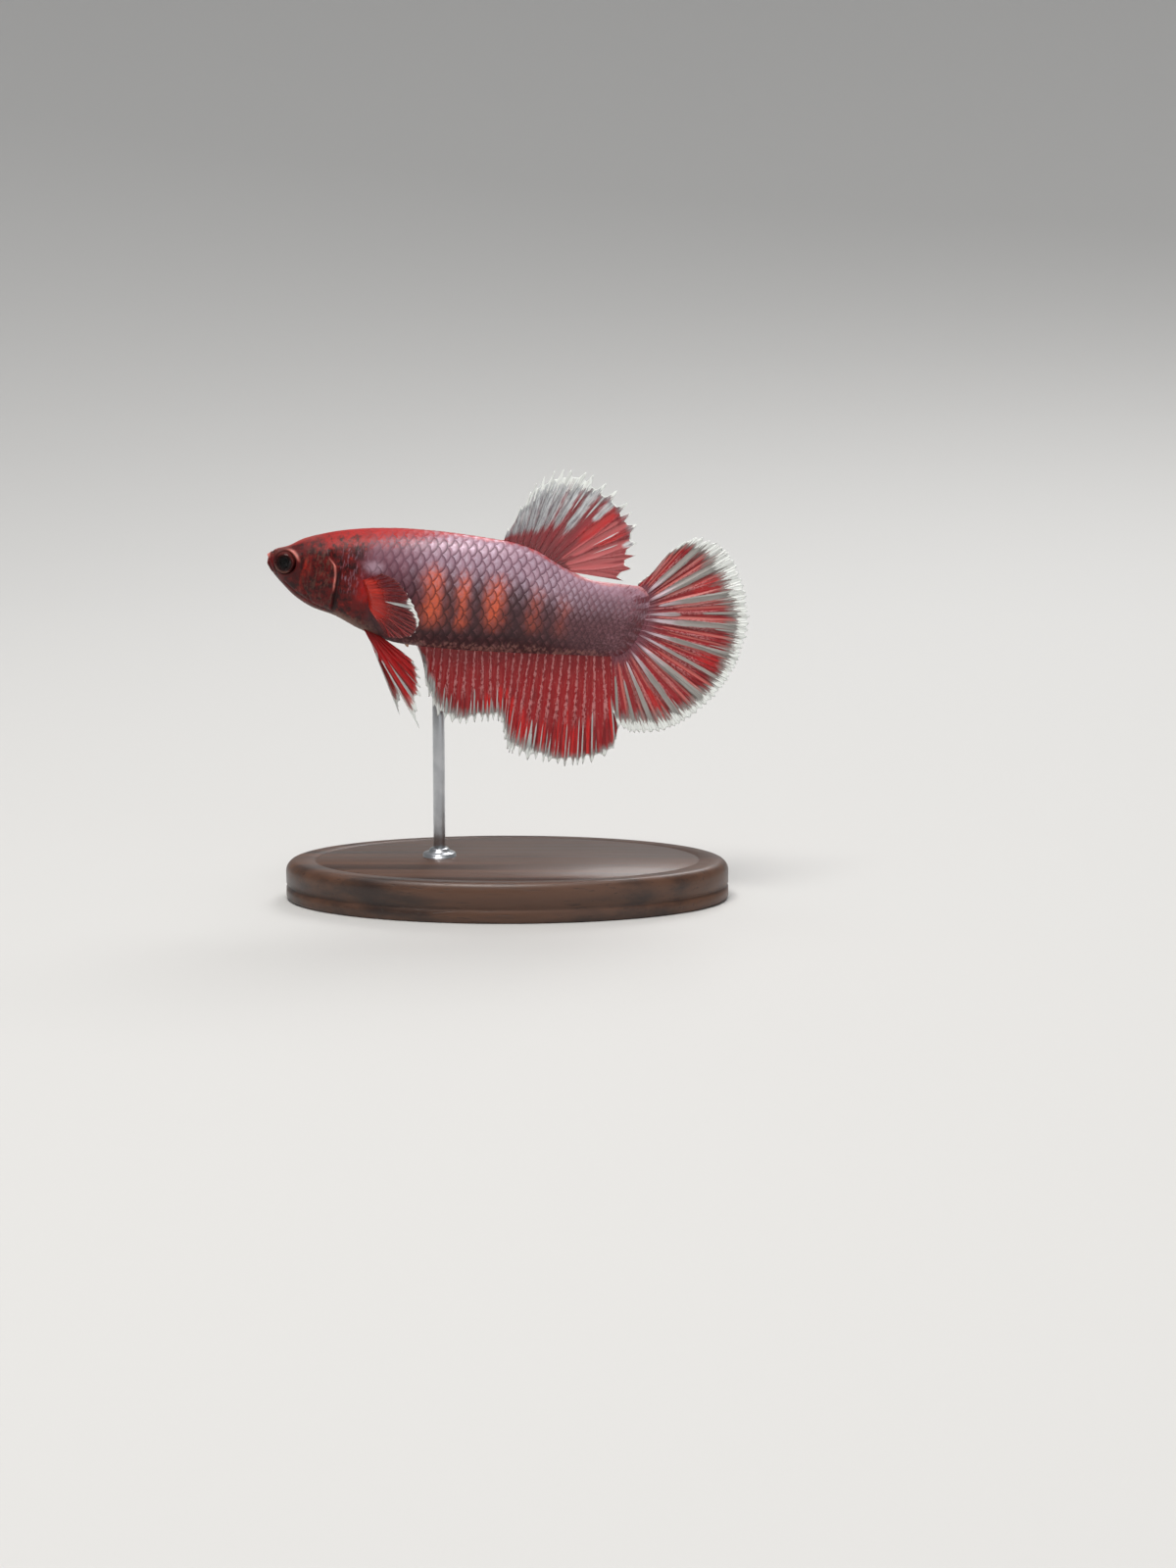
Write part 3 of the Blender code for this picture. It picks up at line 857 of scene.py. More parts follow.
@dataclass(frozen=True)
class ScaleFinish:
    """Scales: the skin's markings, a pale lit centre and a dusky hind edge."""

    markings: Markings = Markings()
    border: Colour = srgb(104, 72, 88)
    dark_border: Colour = srgb(58, 34, 38)
    sheen: Colour = srgb(224, 204, 220)
    low_sheen: Colour = srgb(158, 104, 108)
    shadow: Colour = (0.5, 0.40, 0.46, 1)
    growth_rings: float = 34

    def material(self) -> Material:
        """Make the scales' material."""
        tree = FishTree("betta_scales", coat_roughness=0.2, specular_ior_level=0.28)
        edge, tint, u, around = tree.attribute("edge"), tree.attribute("tint"), tree.u, tree.around
        paint = Paint(tree, self.markings.paint(tree))
        fleck = tree.cloud(5.0)
        glint = tree.cloud((3.0, 3.0, 2.2))
        lit = (1 - edge.smooth(0.35, 1.0)) * (1 - around.smooth(0.28, 0.62)) * u.smooth(10.5, 17)
        lit = lit * (1 - (1 - around.smooth(0.05, 0.20)) * (1 - u.smooth(14, 24)))
        lit = lit * (0.62 + tint * 0.24 + glint * 1.7) * (1 - u.smooth(34, 45) * 0.65)
        lit = (lit * (u.smooth(14, 25) * 0.75 + 0.25)).clamp()
        paint.over(lit * 0.8, self.sheen)
        low = (1 - edge.smooth(0.2, 0.9)) * around.smooth(0.35, 0.6) * u.smooth(12, 18)
        paint.over((low * (tint * 0.35 + glint * 2.2 + 0.32)).clamp() * 0.55, self.low_sheen)
        net = edge.smooth(0.72, 1.0) * u.smooth(10.5, 16) * around.smooth(0.03, 0.14)
        net = net * (1 - u.smooth(34, 42) * 0.75)
        tone = tree.mix(around.smooth(0.30, 0.55), self.border, self.dark_border)
        paint.over((net * (0.70 + fleck * 0.9 + tint * 0.12)).clamp(), tone)
        # Darker random tone for each scale, and painted shade along the scales' edges on the upper
        # nape.
        fade = (1 - u.smooth(9, 15)) * (1 - around.smooth(0.2, 0.35))
        shade = ((tint * 0.5 + 0.5) * 0.42 + edge.smooth(0.75, 1.0) * fade * 0.5).clamp()
        paint.over(shade, tree.mix(1.0, paint.colour, self.shadow, "MULTIPLY"))
        ring = (edge * self.growth_rings).math("SINE")
        tree.bump(ring * 0.35 + fleck * 0.8, 0.000005, 0.5)
        moist = u.smooth(12, 24) * (1 - around.smooth(0.3, 0.6) * 0.5)
        return tree.finish(base_color=paint.colour, roughness=0.50 - moist * 0.14 + fleck * 0.12,
                           metallic=lit * 0.35, coat_weight=0.04 + moist * 0.2)


class Look(Enum):
    """How a fin's pattern is laid out."""

    DORSAL = "dorsal"
    CAUDAL = "caudal"
    ANAL = "anal"
    PAIRED = "paired"
    PELVIC = "pelvic"


class FinTree(Tree):
    """A graph that knows a fin's rays and the patterns that run along them."""

    def __init__(self, name: str, rays: int, **constants: Any) -> None:
        """Start a fin's material and lay out its rays, which fork towards the margin."""
        super().__init__(name, **constants)
        self.out = self.attribute("out")
        ray = self.attribute("span") * rays
        across = ray.math("FRACT") - 0.5
        fork = self.out.smooth(0.30, 1.0) * 0.25
        twig = self.out.smooth(0.62, 1.0) * 0.10
        self.line = ((across.math("ABSOLUTE") - fork).math("ABSOLUTE") - twig).math("ABSOLUTE")
        self.ridge = 1 - self.line.smooth(0.01, 0.085)
        self.flow = self.pair(ray, self.attribute("reach"))
        self.grain = self.along(3.4, 0.5, 4, 0.6) - 0.5
        self.broad = self.along(0.8, 0.25, 2) - 0.5
        self.fine = self.along(9.0, 3.0, 3, 0.6) - 0.5
        self.comb = self.along(6.0, 0.42, 3, 0.65) - 0.5

    def along(self, across: float, length: float, detail: float, roughness: float = 0.5) -> Value:
        """Sample a pattern by its fineness across the rays and along them."""
        return self.noise(self.flow, (across, length, 1), detail, roughness)


@dataclass(frozen=True)
class FinFinish:
    """Thin rayed membrane: red between the rays, pale streaks and a white margin."""

    look: Look
    rays: int
    root: Colour = srgb(136, 44, 50)
    red: Colour = srgb(178, 22, 30)
    vivid: Colour = srgb(218, 22, 22)
    deep: Colour = srgb(88, 8, 16)
    bead: Colour = srgb(226, 150, 150)
    blush: Colour = srgb(208, 104, 98)
    silver: Colour = srgb(196, 204, 202)
    frost: Colour = srgb(238, 226, 228)
    smoke: Colour = srgb(134, 132, 128)
    # painted shade beside each silver streak
    painted_shade: Colour = srgb(66, 50, 48)
    white: Colour = srgb(244, 247, 243)
    flesh: Colour = srgb(134, 78, 90)
    fleshy: float = 0.0
    root_reach: float = 0.38
    vein: float = 0.5
    beads: float = 0.5
    bead_reach: tuple = (0.0, 1.0)
    bead_beat: float = 2.6
    mist: float = 0.8
    hemmed: float = 1.0
    clear: float = 0.1
    clear_from: float = 0.0

    @cache
    def material(self) -> Material:
        """Make the fin's material from what the mesh stores about its rays."""
        tree = FinTree(f"fin_{self.look.value}", self.rays, coat_weight=0.12,
                       coat_roughness=0.25, specular_ior_level=0.35)
        paint = Paint(tree, self.root)
        self.membrane(tree, paint)
        self.beading(tree, paint)
        lit = self.streaks(tree, paint)
        edge = self.margin(tree, paint)
        if self.fleshy:
            body = 1 - (tree.out + tree.grain * 0.12 + tree.fine * 0.06).smooth(0.06, self.fleshy)
            paint.over(body * (0.85 + tree.comb * 2.4).clamp(), self.flesh)
        tree.bump(tree.ridge * 0.8 + tree.grain * 0.8 + tree.fine * 0.3, 0.00008, 0.9)
        open_part = (1 - tree.ridge) * (1 - edge) * (1 - lit * 0.6)
        if self.clear_from:
            soft = 0.15
            open_part = open_part * tree.out.smooth(self.clear_from - soft, self.clear_from + soft)
        return tree.finish(base_color=paint.colour, roughness=0.36 + tree.grain * 0.2,
                           alpha=1 - open_part * self.clear)

    def membrane(self, tree: FinTree, paint: Paint) -> None:
        """Redden the membrane from its root, with vivid, blushing and hazy stripes."""
        out, grain, broad, fine, comb = tree.out, tree.grain, tree.broad, tree.fine, tree.comb
        blush, vivid, haze = map(tree.attribute, ("blush", "vivid", "haze"))
        paint.over((out + broad * 0.3 + comb * 0.4).smooth(0.0, self.root_reach), self.red)
        paint.over((broad * 3 + fine).clamp() * 0.55, self.deep)
        paint.over((blush + grain * 0.4).smooth(0.3, 0.7), self.blush)
        paint.over((vivid + grain * 0.7 + comb * 0.6).smooth(0.2, 0.9) * 0.85, self.vivid)
        paint.over((comb * 3.2 + fine * 0.5).clamp() * 0.42, self.blush)
        veil = (haze + grain * 0.7 + comb * 0.9 + broad * 0.3).smooth(0.18, 0.76)
        pale = (grain * 1.6 + comb * 2.2 + fine * 0.6 + out * 1.5 - 0.22).clamp()
        paint.over(veil * 0.94, tree.mix(pale, self.smoke, self.silver))
        paint.over(tree.ridge * (1 - veil * 0.5) * self.vein, self.deep)

    def beading(self, tree: FinTree, paint: Paint) -> None:
        """Crowd pale beads along every ray."""
        dots = tree.along(6.0, self.bead_beat, 2, 0.6)
        near = 1 - (tree.line + tree.fine * 0.06).smooth(0.02, 0.24)
        beads = (dots + near * 0.26).smooth(0.62, 0.80)
        beads = beads * (tree.out + tree.grain * 0.3).band(*self.bead_reach, 0.10)
        paint.over(beads * self.beads, self.bead)

    def streaks(self, tree: FinTree, paint: Paint) -> Value:
        """Lay silver streaks, frosty at the root, with painted shade beside each; give where they
        are.
        """
        silver, shade, grain = tree.attribute("silver"), tree.attribute("shade"), tree.grain
        # Painted shade along one side of each silver streak.
        paint.over((shade + grain * 0.5).smooth(0.35, 0.8) * 0.4, self.painted_shade)
        lit = (silver + grain * 0.55 + tree.fine * 0.2).smooth(0.34, 0.58)
        streak = Paint(tree, self.frost)
        streak.over((tree.out + grain * 0.4).smooth(0.15, 0.45), self.silver)
        streak.over((grain * 3.2).clamp() * 0.4, self.smoke)
        paint.over(lit * 0.92, streak.colour)
        return lit

    def margin(self, tree: FinTree, paint: Paint) -> Value:
        """Edge the fin with combed white over a smoky band; give where the white is."""
        band, grain, comb = tree.attribute("band"), tree.grain, tree.comb
        mist = 1 - (band + comb * 3.0 + grain * 1.2 + tree.broad * 0.8).smooth(0.9, 1.8)
        paint.over(mist * self.mist, tree.mix((comb * 4 + 0.35).clamp(), self.smoke, self.silver))
        white = 1 - (band + comb * 2.4 + grain * 0.5 + tree.fine * 0.3).smooth(0.60, 0.98)
        hem = (1 - tree.attribute("rim").smooth(0.09, 0.2)) * self.hemmed
        edge = white.math("MAXIMUM", hem)
        paint.over(edge, self.white)
        return edge


@dataclass(frozen=True)
class EyeFinish:
    """Dark iris with a pale arc below the pupil, a painted highlight, and a black pupil."""

    iris: Colour = srgb(16, 5, 4)
    rust: Colour = srgb(38, 11, 10)
    # colour of the painted highlight's arc below the pupil
    pale: Colour = srgb(124, 84, 74)
    ring: Colour = srgb(54, 11, 12)
    top: Colour = srgb(84, 30, 27)
    pupil: Colour = srgb(3, 2, 2)

    def material(self) -> Material:
        """Make the eyeball's material."""
        tree = Tree("eye_ball", roughness=0.6, specular_ior_level=0.08)
        disc, turn, low = (tree.attribute(name) for name in ("disc", "turn", "low"))
        streaks = tree.noise(tree.pair(turn * 9, disc * 1.2), 2.0, 3)
        paint = Paint(tree, self.iris)
        paint.over(streaks.smooth(0.4, 0.7), self.rust)
        outer = (disc + streaks * 0.12).smooth(0.94, 1.16)
        paint.over(outer * 0.9, self.ring)
        paint.over(outer * (low * -1).smooth(0.0, 0.8), self.top)
        # Painted highlight: a pale arc on the iris below the pupil.
        arc = disc.hump(1.20, 0.09) * (low + streaks * 0.3).smooth(0.55, 0.95)
        paint.over(arc * 0.85, self.pale)
        paint.over(1 - disc.smooth(0.62, 0.68), self.pupil)
        return tree.finish(base_color=paint.colour)

    def glass(self) -> Material:
        """Make the clear cornea's material: see-through, with a sharp reflection."""
        tree = Tree("eye_cornea")
        clear = tree.node("ShaderNodeBsdfTransparent", None, {"Color": (1, 1, 1, 1)})
        gloss = tree.node("ShaderNodeBsdfGlossy", None, {"Color": (1, 1, 1, 1),
                                                         "Roughness": 0.03})
        facing = tree.node("ShaderNodeLayerWeight", None, {"Blend": 0.5}).outputs["Facing"]
        share = Value(tree, facing) ** 6 * 0.25 + 0.006
        both = tree.node("ShaderNodeMixShader", None,
                         {0: share, 1: clear.outputs[0], 2: gloss.outputs[0]})
        output = next(n for n in tree.graph.nodes if n.type == "OUTPUT_MATERIAL")
        tree.graph.links.new(both.outputs[0], output.inputs["Surface"])
        tree.graph.nodes.remove(tree.shader)
        return tree.material


@dataclass(frozen=True)
class WoodFinish:
    """Dark oiled hardwood."""

    early: Colour = srgb(92, 60, 42)
    late: Colour = srgb(44, 26, 18)

    def material(self) -> Material:
        """Make the wood, with the grain along the base."""
        tree = Tree("stand_wood", coat_weight=0.25, coat_roughness=0.25)
        place = tree.place()
        bend = tree.noise(place, (40, 160, 160), 2)
        rings = tree.noise(place, (14, 420, 420), 4, 0.55)
        pores = tree.noise(place, (180, 3200, 3200), 2)
        figure = (rings + bend * 0.35).smooth(0.42, 0.86)
        colour = tree.mix(figure, self.late, self.early)
        colour = tree.mix(pores.smooth(0.60, 0.72) * 0.55, colour, self.late)
        tree.bump(pores.smooth(0.60, 0.72) * -1 + figure * 0.3, 0.00004, 0.6)
        return tree.finish(base_color=colour, roughness=0.38 + figure * 0.12)


@dataclass(frozen=True)
class SteelFinish:
    """Fine-turned stainless steel."""

    bright: Colour = srgb(192, 194, 197)
    worn: Colour = srgb(180, 182, 186)

    def material(self) -> Material:
        """Make the steel, with faint turning marks."""
        tree = Tree("stand_steel", metallic=1.0)
        turned = tree.noise(tree.place(), (300, 300, 9000), 2)
        cloud = tree.noise(tree.place(), 500, 2)
        tree.bump(turned, 0.000006, 0.5)
        return tree.finish(base_color=tree.mix(cloud.smooth(0.4, 0.65), self.worn, self.bright),
                           roughness=0.24 + turned * 0.14)


@dataclass(frozen=True)
class PaperFinish:
    """Matt pale paper of the studio floor and backdrop."""

    pale: Colour = srgb(206, 205, 203)

    def material(self) -> Material:
        """Make the paper."""
        tree = Tree("studio_paper", roughness=0.9)
        cloud = tree.noise(tree.place(), 3.0, 2)
        shade = tree.mix(cloud * 0.06, self.pale, srgb(190, 189, 188))
        return tree.finish(base_color=shade)


# --- the fish ---------------------------------------------------------------------


def settle(obj: Piece) -> None:
    """Move a piece made in the fish's frame into the row frame."""
    write_points(obj, ANATOMY.world(read_points(obj)))


@dataclass
class Skin:
    """One unbroken skin from the lips to the tail base."""

    columns: int = 272
    rows: int = 320
    weld: float = 0.0008
    # share of the rows against length along the body
    spacing: tuple = ((0.0, 0.0), (0.10, 0.55), (0.46, 9.6), (0.86, 41.0), (1.0, 49.755))

    def length_at(self, share: Array) -> Array:
        """Give the length along the body at a share of the rows."""
        return curve_through(self.spacing)(share)[..., 0]

    def share_at(self, x: Array) -> Array:
        """Give the share of the rows at a length along the body."""
        share = np.linspace(0, 1, 2001)
        return np.interp(x, self.length_at(share), share)

    def build(self, girth: Girth) -> Piece:
        """Make the skin and what its material reads."""
        obj, across, along = add_sheet("fish_skin", self.columns, self.rows)
        obj.data.uv_layers[0].name = "OFBake"
        x = self.length_at(along)
        points = ANATOMY.flesh(x, girth.angle(x, across % 1.0) + TAU * (across >= 1))
        write_points(obj, points)
        store_place(obj, points, across)
        face_out(obj, merge=self.weld)
        settle(obj)
        return dress(obj, SkinFinish().material(), Slot.SKIN,
                     "head", "trunk", "tail", "gill_cover_left", "gill_cover_right")


def store_place(obj: Piece, points: Array, share: Array) -> None:
    """Store what the markings read: share down the flank, gill edge and orbit."""
    u, v = points[:, 0], points[:, 2]
    set_attribute(obj, "around", 1 - np.abs(1 - 2 * (share % 1.0)))
    set_attribute(obj, "gill", ANATOMY.behind_gill(u, v))
    set_attribute(obj, "orbit", ANATOMY.from_eye(u, v))


@dataclass
class Scales:
    """Overlapping scales, one modelled and laid in staggered rows over the skin."""

    rows: int = 30
    first: float = 3.9
    last: float = 47.6
    # length along the body against the step from scale to scale
    steps: tuple = ((0, 0.72), (8.0, 0.76), (9.6, 1.26), (29, 1.26), (41, 0.80), (50, 0.70))
    overlap: float = 1.75
    breadth: float = 1.06
    lift: float = 0.036
    thickness: float = 0.018
    dome: float = 0.002
    curl: float = 0.014
    flat_head: float = 0.34
    flat_tail: float = 0.85
    full_step: float = 1.26
    patch: float = 0.003
    inset: float = 0.34
    # usual random errors: of the places, the sizes and the lean
    stray: float = 0.035
    stray_round: float = 0.0010
    uneven: float = 0.04
    lean: float = 0.07
    # bare parts: round the eye, the throat's share of the height and end, cover and jaw
    bare_eye: float = 2.35
    bare_throat: float = 0.17
    throat_end: float = 9.5
    cover_top: float = 1.9
    jaw: tuple = (4.6, -1.0)

    def step(self, x: Any) -> Array:
        """Give the step from scale to scale at a length along the body."""
        return curve_through(self.steps)(x)[..., 0]

    def model_one(self) -> tuple[Array, list[tuple[int, ...]]]:
        """Model a scale as a shallow closed disc and give its points and faces."""
        deselect()
        bpy.ops.mesh.primitive_cylinder_add(vertices=16, radius=1, depth=1)
        disc = bpy.context.object
        bpy.ops.object.mode_set(mode="EDIT")
        shape = bmesh.from_edit_mesh(disc.data)
        for face in shape.faces:
            face.select_set(face.normal.z > 0.5)
        bmesh.update_edit_mesh(disc.data)
        bpy.ops.mesh.inset(thickness=self.inset)
        bpy.ops.mesh.poke()
        bpy.ops.object.mode_set(mode="OBJECT")
        points = read_points(disc)
        faces = [tuple(face.vertices) for face in disc.data.polygons]
        bpy.data.objects.remove(disc)
        return points, faces

    def roots(self, girth: Girth, rng: np.random.Generator) -> tuple[Array, Array]:
        """Lay out the scales' roots in staggered rows.

        Args:
            girth: even steps round the body.
            rng: random source.

        Returns:
            Length along the body and share of the way round.
        """
        place = [self.first]
        while place[-1] < self.last:
            place.append(place[-1] + float(self.step(place[-1])) / 2)
        spots = [(at, (row + 0.5) / self.rows) for i, at in enumerate(place)
                 for row in range(self.rows) if (i + row) % 2 == 0]
        x, share = np.array(spots).T
        x = x + rng.normal(0, self.stray, len(x)) * self.step(x)
        share = share + rng.normal(0, self.stray_round, len(x))
        keep = self.wanted(ANATOMY.base(x, girth.angle(x, share)))
        return x[keep], share[keep]

    def wanted(self, at: Array) -> Array:
        """Say where scales grow: not by the eye, on the throat or in the gill slit."""
        u, _, v = at.T
        back, belly, *_ = ANATOMY.profile(u)
        eye = ANATOMY.from_eye(u, v) < self.bare_eye
        cover = (ANATOMY.behind_gill(u, v) < -0.05) & (v < self.cover_top)
        throat = (v < belly + self.bare_throat * (back - belly)) & (u < self.throat_end)
        jaw = (u < self.jaw[0]) & (v < self.jaw[1])
        pectoral = ANATOMY.from_fin_root(u, v, 0.9) < 1
        return ~(eye | cover | throat | jaw | pectoral)

    def grade(self, x: Array) -> Array:
        """Give how high scales stand at a length along the body, flat on head and tail."""
        size = self.step(x) / self.full_step
        head = self.flat_head + (1 - self.flat_head) * ease(7.5, 12.0, x)
        return size * head * (1 - self.flat_tail * ease(37.0, 47.0, x))

    def lay(self, side: Side, girth: Girth, skin: Skin, rng: np.random.Generator,
            material: Material) -> Piece:
        """Copy the scale over one side of the fish.

        Args:
            side: the side to cover.
            girth: even steps round the body.
            skin: gives the unwrap that the scales' own map follows.
            rng: random source.
            material: the scales' finish.

        Returns:
            The joined scales.
        """
        disc, faces = self.model_one()
        x, share = self.roots(girth, rng)
        mine = (share % 1.0 < 0.5) == (side is Side.RIGHT)
        x, share = x[mine][:, None], share[mine][:, None]
        count = len(x)
        size = 1 + rng.normal(0, self.uneven, (count, 1))
        lean = rng.normal(0, self.lean, (count, 1))
        along = (disc[:, 0] * np.cos(lean) - disc[:, 1] * np.sin(lean)) * size
        aside = (disc[:, 0] * np.sin(lean) + disc[:, 1] * np.cos(lean)) * size
        far = x + (0.5 * along + 0.5) * self.overlap * self.step(x)
        radius = np.hypot(disc[:, 0], disc[:, 1])
        row = girth.length(x) / self.rows
        turned = share + aside * self.breadth * row / girth.length(far)
        rise = (along * self.lift + self.dome * (1 - radius ** 2)
                - self.thickness * (disc[:, 2] < 0) - self.curl * aside ** 2)
        points = ANATOMY.flesh(np.minimum(far, ANATOMY.length), girth.angle(far, turned),
                               rise * self.grade(x)).reshape(-1, 3)

        mesh = bpy.data.meshes.new(f"scales_{side.value}")
        offsets = np.arange(count)[:, None] * len(disc)
        every = [np.array(face) + offsets for face in faces]
        mesh.from_pydata(points, [], [tuple(face) for rows in every for face in rows])
        obj = add_object(mesh.name, mesh)
        store_place(obj, points, turned.ravel())
        set_attribute(obj, "edge", np.tile(radius, count))
        set_attribute(obj, "tint", np.repeat(rng.uniform(-1, 1, count), len(disc)))
        self.unwrap(mesh, np.stack((share % 1.0 + disc[:, 0] * self.patch / 2,
                                    skin.share_at(x) + disc[:, 1] * self.patch / 2), -1))
        LOG.info("%s: %d scales", obj.name, count)
        settle(obj)
        face_out(obj)
        dress(obj, material, Slot.SKIN)
        mesh.set_sharp_from_angle(angle=math.radians(35))
        return obj

    def unwrap(self, mesh: bpy.types.Mesh, places: Array) -> None:
        """Make each scale a small patch of the unwrap at its root."""
        layer = mesh.uv_layers.new(name="OFBake")
        corner = np.empty(len(mesh.loops), int)
        mesh.loops.foreach_get("vertex_index", corner)
        layer.data.foreach_set("uv", np.clip(places.reshape(-1, 2)[corner], 0, 1).ravel())


@dataclass
class Eye:
    """An eyeball with a sunk iris, a domed pupil and a clear cornea."""

    side: Side
    segments: int = 72
    rings: int = 64
    pupil: float = 0.66
    ball_share: float = 0.97
    # how deep the iris and the pupil's dome lie along the axis, and how far they rise
    iris_depth: float = 0.40
    iris_slope: float = 0.16
    lens_depth: float = 0.42
    lens_dome: float = 0.22
    # the cornea: its gap to the ball's rim, its middle's depth and its inner shell's size
    gap: float = 0.03
    cornea_depth: float = 0.10
    inner_width: float = 0.955
    inner_rise: float = 0.93
    # turn round the eye's axis of the painted highlight's arc
    pale_turn: float = 0.3

    def put(self, across: Array, up: Array, out: Array) -> Array:
        """Place points given in the eye's own plane and along its axis."""
        sine, cosine = math.sin(ANATOMY.eye_toe_in), math.cos(ANATOMY.eye_toe_in)
        u, v, w = ANATOMY.eye
        return np.stack((u + across * cosine - out * sine,
                         self.side.hand * (w + across * sine + out * cosine),
                         v + up), -1)

    def sphere(self, name: str) -> tuple[Piece, Array, Array]:
        """Add a ball and give its angle from the front and its turn round the axis."""
        obj, points = add_ball(f"{name}_{self.side.value}", self.segments, self.rings)
        return obj, np.arccos(np.clip(points[:, 2], -1, 1)), np.arctan2(points[:, 1], points[:, 0])

    def shape(self, obj: Piece, turn: Array, radius: Array, out: Array) -> None:
        """Place a ball's points round and along the eye's axis."""
        write_points(obj, self.put(radius * np.cos(turn), radius * np.sin(turn), out))
        face_out(obj)
        settle(obj)

    def build(self) -> None:
        """Make the eyeball and the cornea."""
        finish = EyeFinish()
        full, depth = ANATOMY.eye_radius * self.ball_share, ANATOMY.eye_depth
        ball, angle, turn = self.sphere("eyeball")
        radius = full * np.sin(angle)
        iris = np.minimum(depth * np.cos(angle),
                          self.iris_depth + self.iris_slope * ease(self.pupil, full, radius))
        dome = np.sqrt(np.maximum(1 - (radius / self.pupil) ** 2, 0))
        lens = self.lens_depth + self.lens_dome * dome
        self.shape(ball, turn, radius,
                   np.where((radius < self.pupil) & (angle < 1.5), lens, iris))
        set_attribute(ball, "disc", np.where(angle < 1.6, radius, full))
        set_attribute(ball, "turn", turn)
        set_attribute(ball, "low", -np.sin(turn + self.pale_turn))
        dress(ball, finish.material(), Slot.EYE, f"eye_{self.side.value}")

        # The cornea is a shell: its back half lies folded inside the front one.
        shell, angle, turn = self.sphere("cornea")
        outer = angle < math.pi / 2
        angle = np.where(outer, angle, math.pi - angle)
        radius = (full - self.gap) * np.sin(angle) * np.where(outer, 1.0, self.inner_width)
        rise = (depth - 2 * self.gap) * np.cos(angle) * np.where(outer, 1.0, self.inner_rise)
        self.shape(shell, turn, radius, self.cornea_depth + rise)
        dress(shell, finish.glass(), Slot.EYE)


@dataclass(frozen=True)
class Spikes:
    """Ray tips that stand out of a fin's margin; blunt ones are finger-shaped."""

    count: int
    depth: float
    wander: float = 0.35
    blunt: float = 0.8
    steps: int = 8


class Stripe(Enum):
    """What a stripe on a fin shows."""

    SILVER = "silver"
    HAZE = "haze"
    VIVID = "vivid"
    BLUSH = "blush"


@dataclass(frozen=True)
class Mark:
    """A stripe along the rays: what it shows, its place on the span and its half width."""

    kind: Stripe
    share: float
    half: float
    start: float = 0.0
    end: float = 1.1
    drift: float = 0.0
    soft: float = 0.12

    def half_at(self, out: Array) -> Array:
        """Give the half width along the reach; silver begins in a point."""
        if self.kind is Stripe.SILVER:
            return self.half * (0.22 + 0.78 * ease(self.start - 0.06, self.start + 0.42, out))
        return self.half * (0.45 + 0.55 * ease(0.0, 0.45, out))

    def level(self, share: Array, out: Array, gauge: Array, aside: float) -> Array:
        """Give the stripe's strength, 0 to 1, moved aside by some half widths."""
        half = self.half_at(out)
        place = (share - self.share - self.drift * out) * gauge - aside * half
        fade = self.soft / 2
        return hump(place, 0, half) * (ease(self.start - fade, self.start + fade, out)
                                       * ease(self.end + fade, self.end - fade, out))


def stripes(kind: Stripe, *rows: tuple, **shared: float) -> tuple[Mark, ...]:
    """Make marks of one kind, a row of places and sizes for each."""
    return tuple(Mark(kind, *row, **shared) for row in rows)


def comb(kind: Stripe, count: int, first: float, last: float, half: float, start: float,
         seed: int, reach: float = 0.25) -> tuple[Mark, ...]:
    """Scatter fine stripes along a span.

    Args:
        kind: what the stripes show.
        count: how many.
        first: share of the span where they begin.
        last: share of the span where they end.
        half: their usual half width.
        start: the least share of the reach where they begin.
        seed: random seed.
        reach: how much later some of them begin.

    Returns:
        The marks.
    """
    rng = np.random.default_rng(SEED + seed)
    places = first + (last - first) * (np.arange(count) + rng.uniform(0.15, 0.85, count)) / count
    return tuple(Mark(kind, float(place), half * float(rng.uniform(0.5, 1.4)),
                      start + reach * float(rng.uniform(0, 1)), soft=0.2)
                 for place in places)


def ripple(height: float, waves: float, phase: float = 0.0) -> Callable[..., Array]:
    """Make a fin sway in waves along its span, which grow towards the margin."""
    return lambda share, out, length: height * out * np.sin(waves * share + phase)


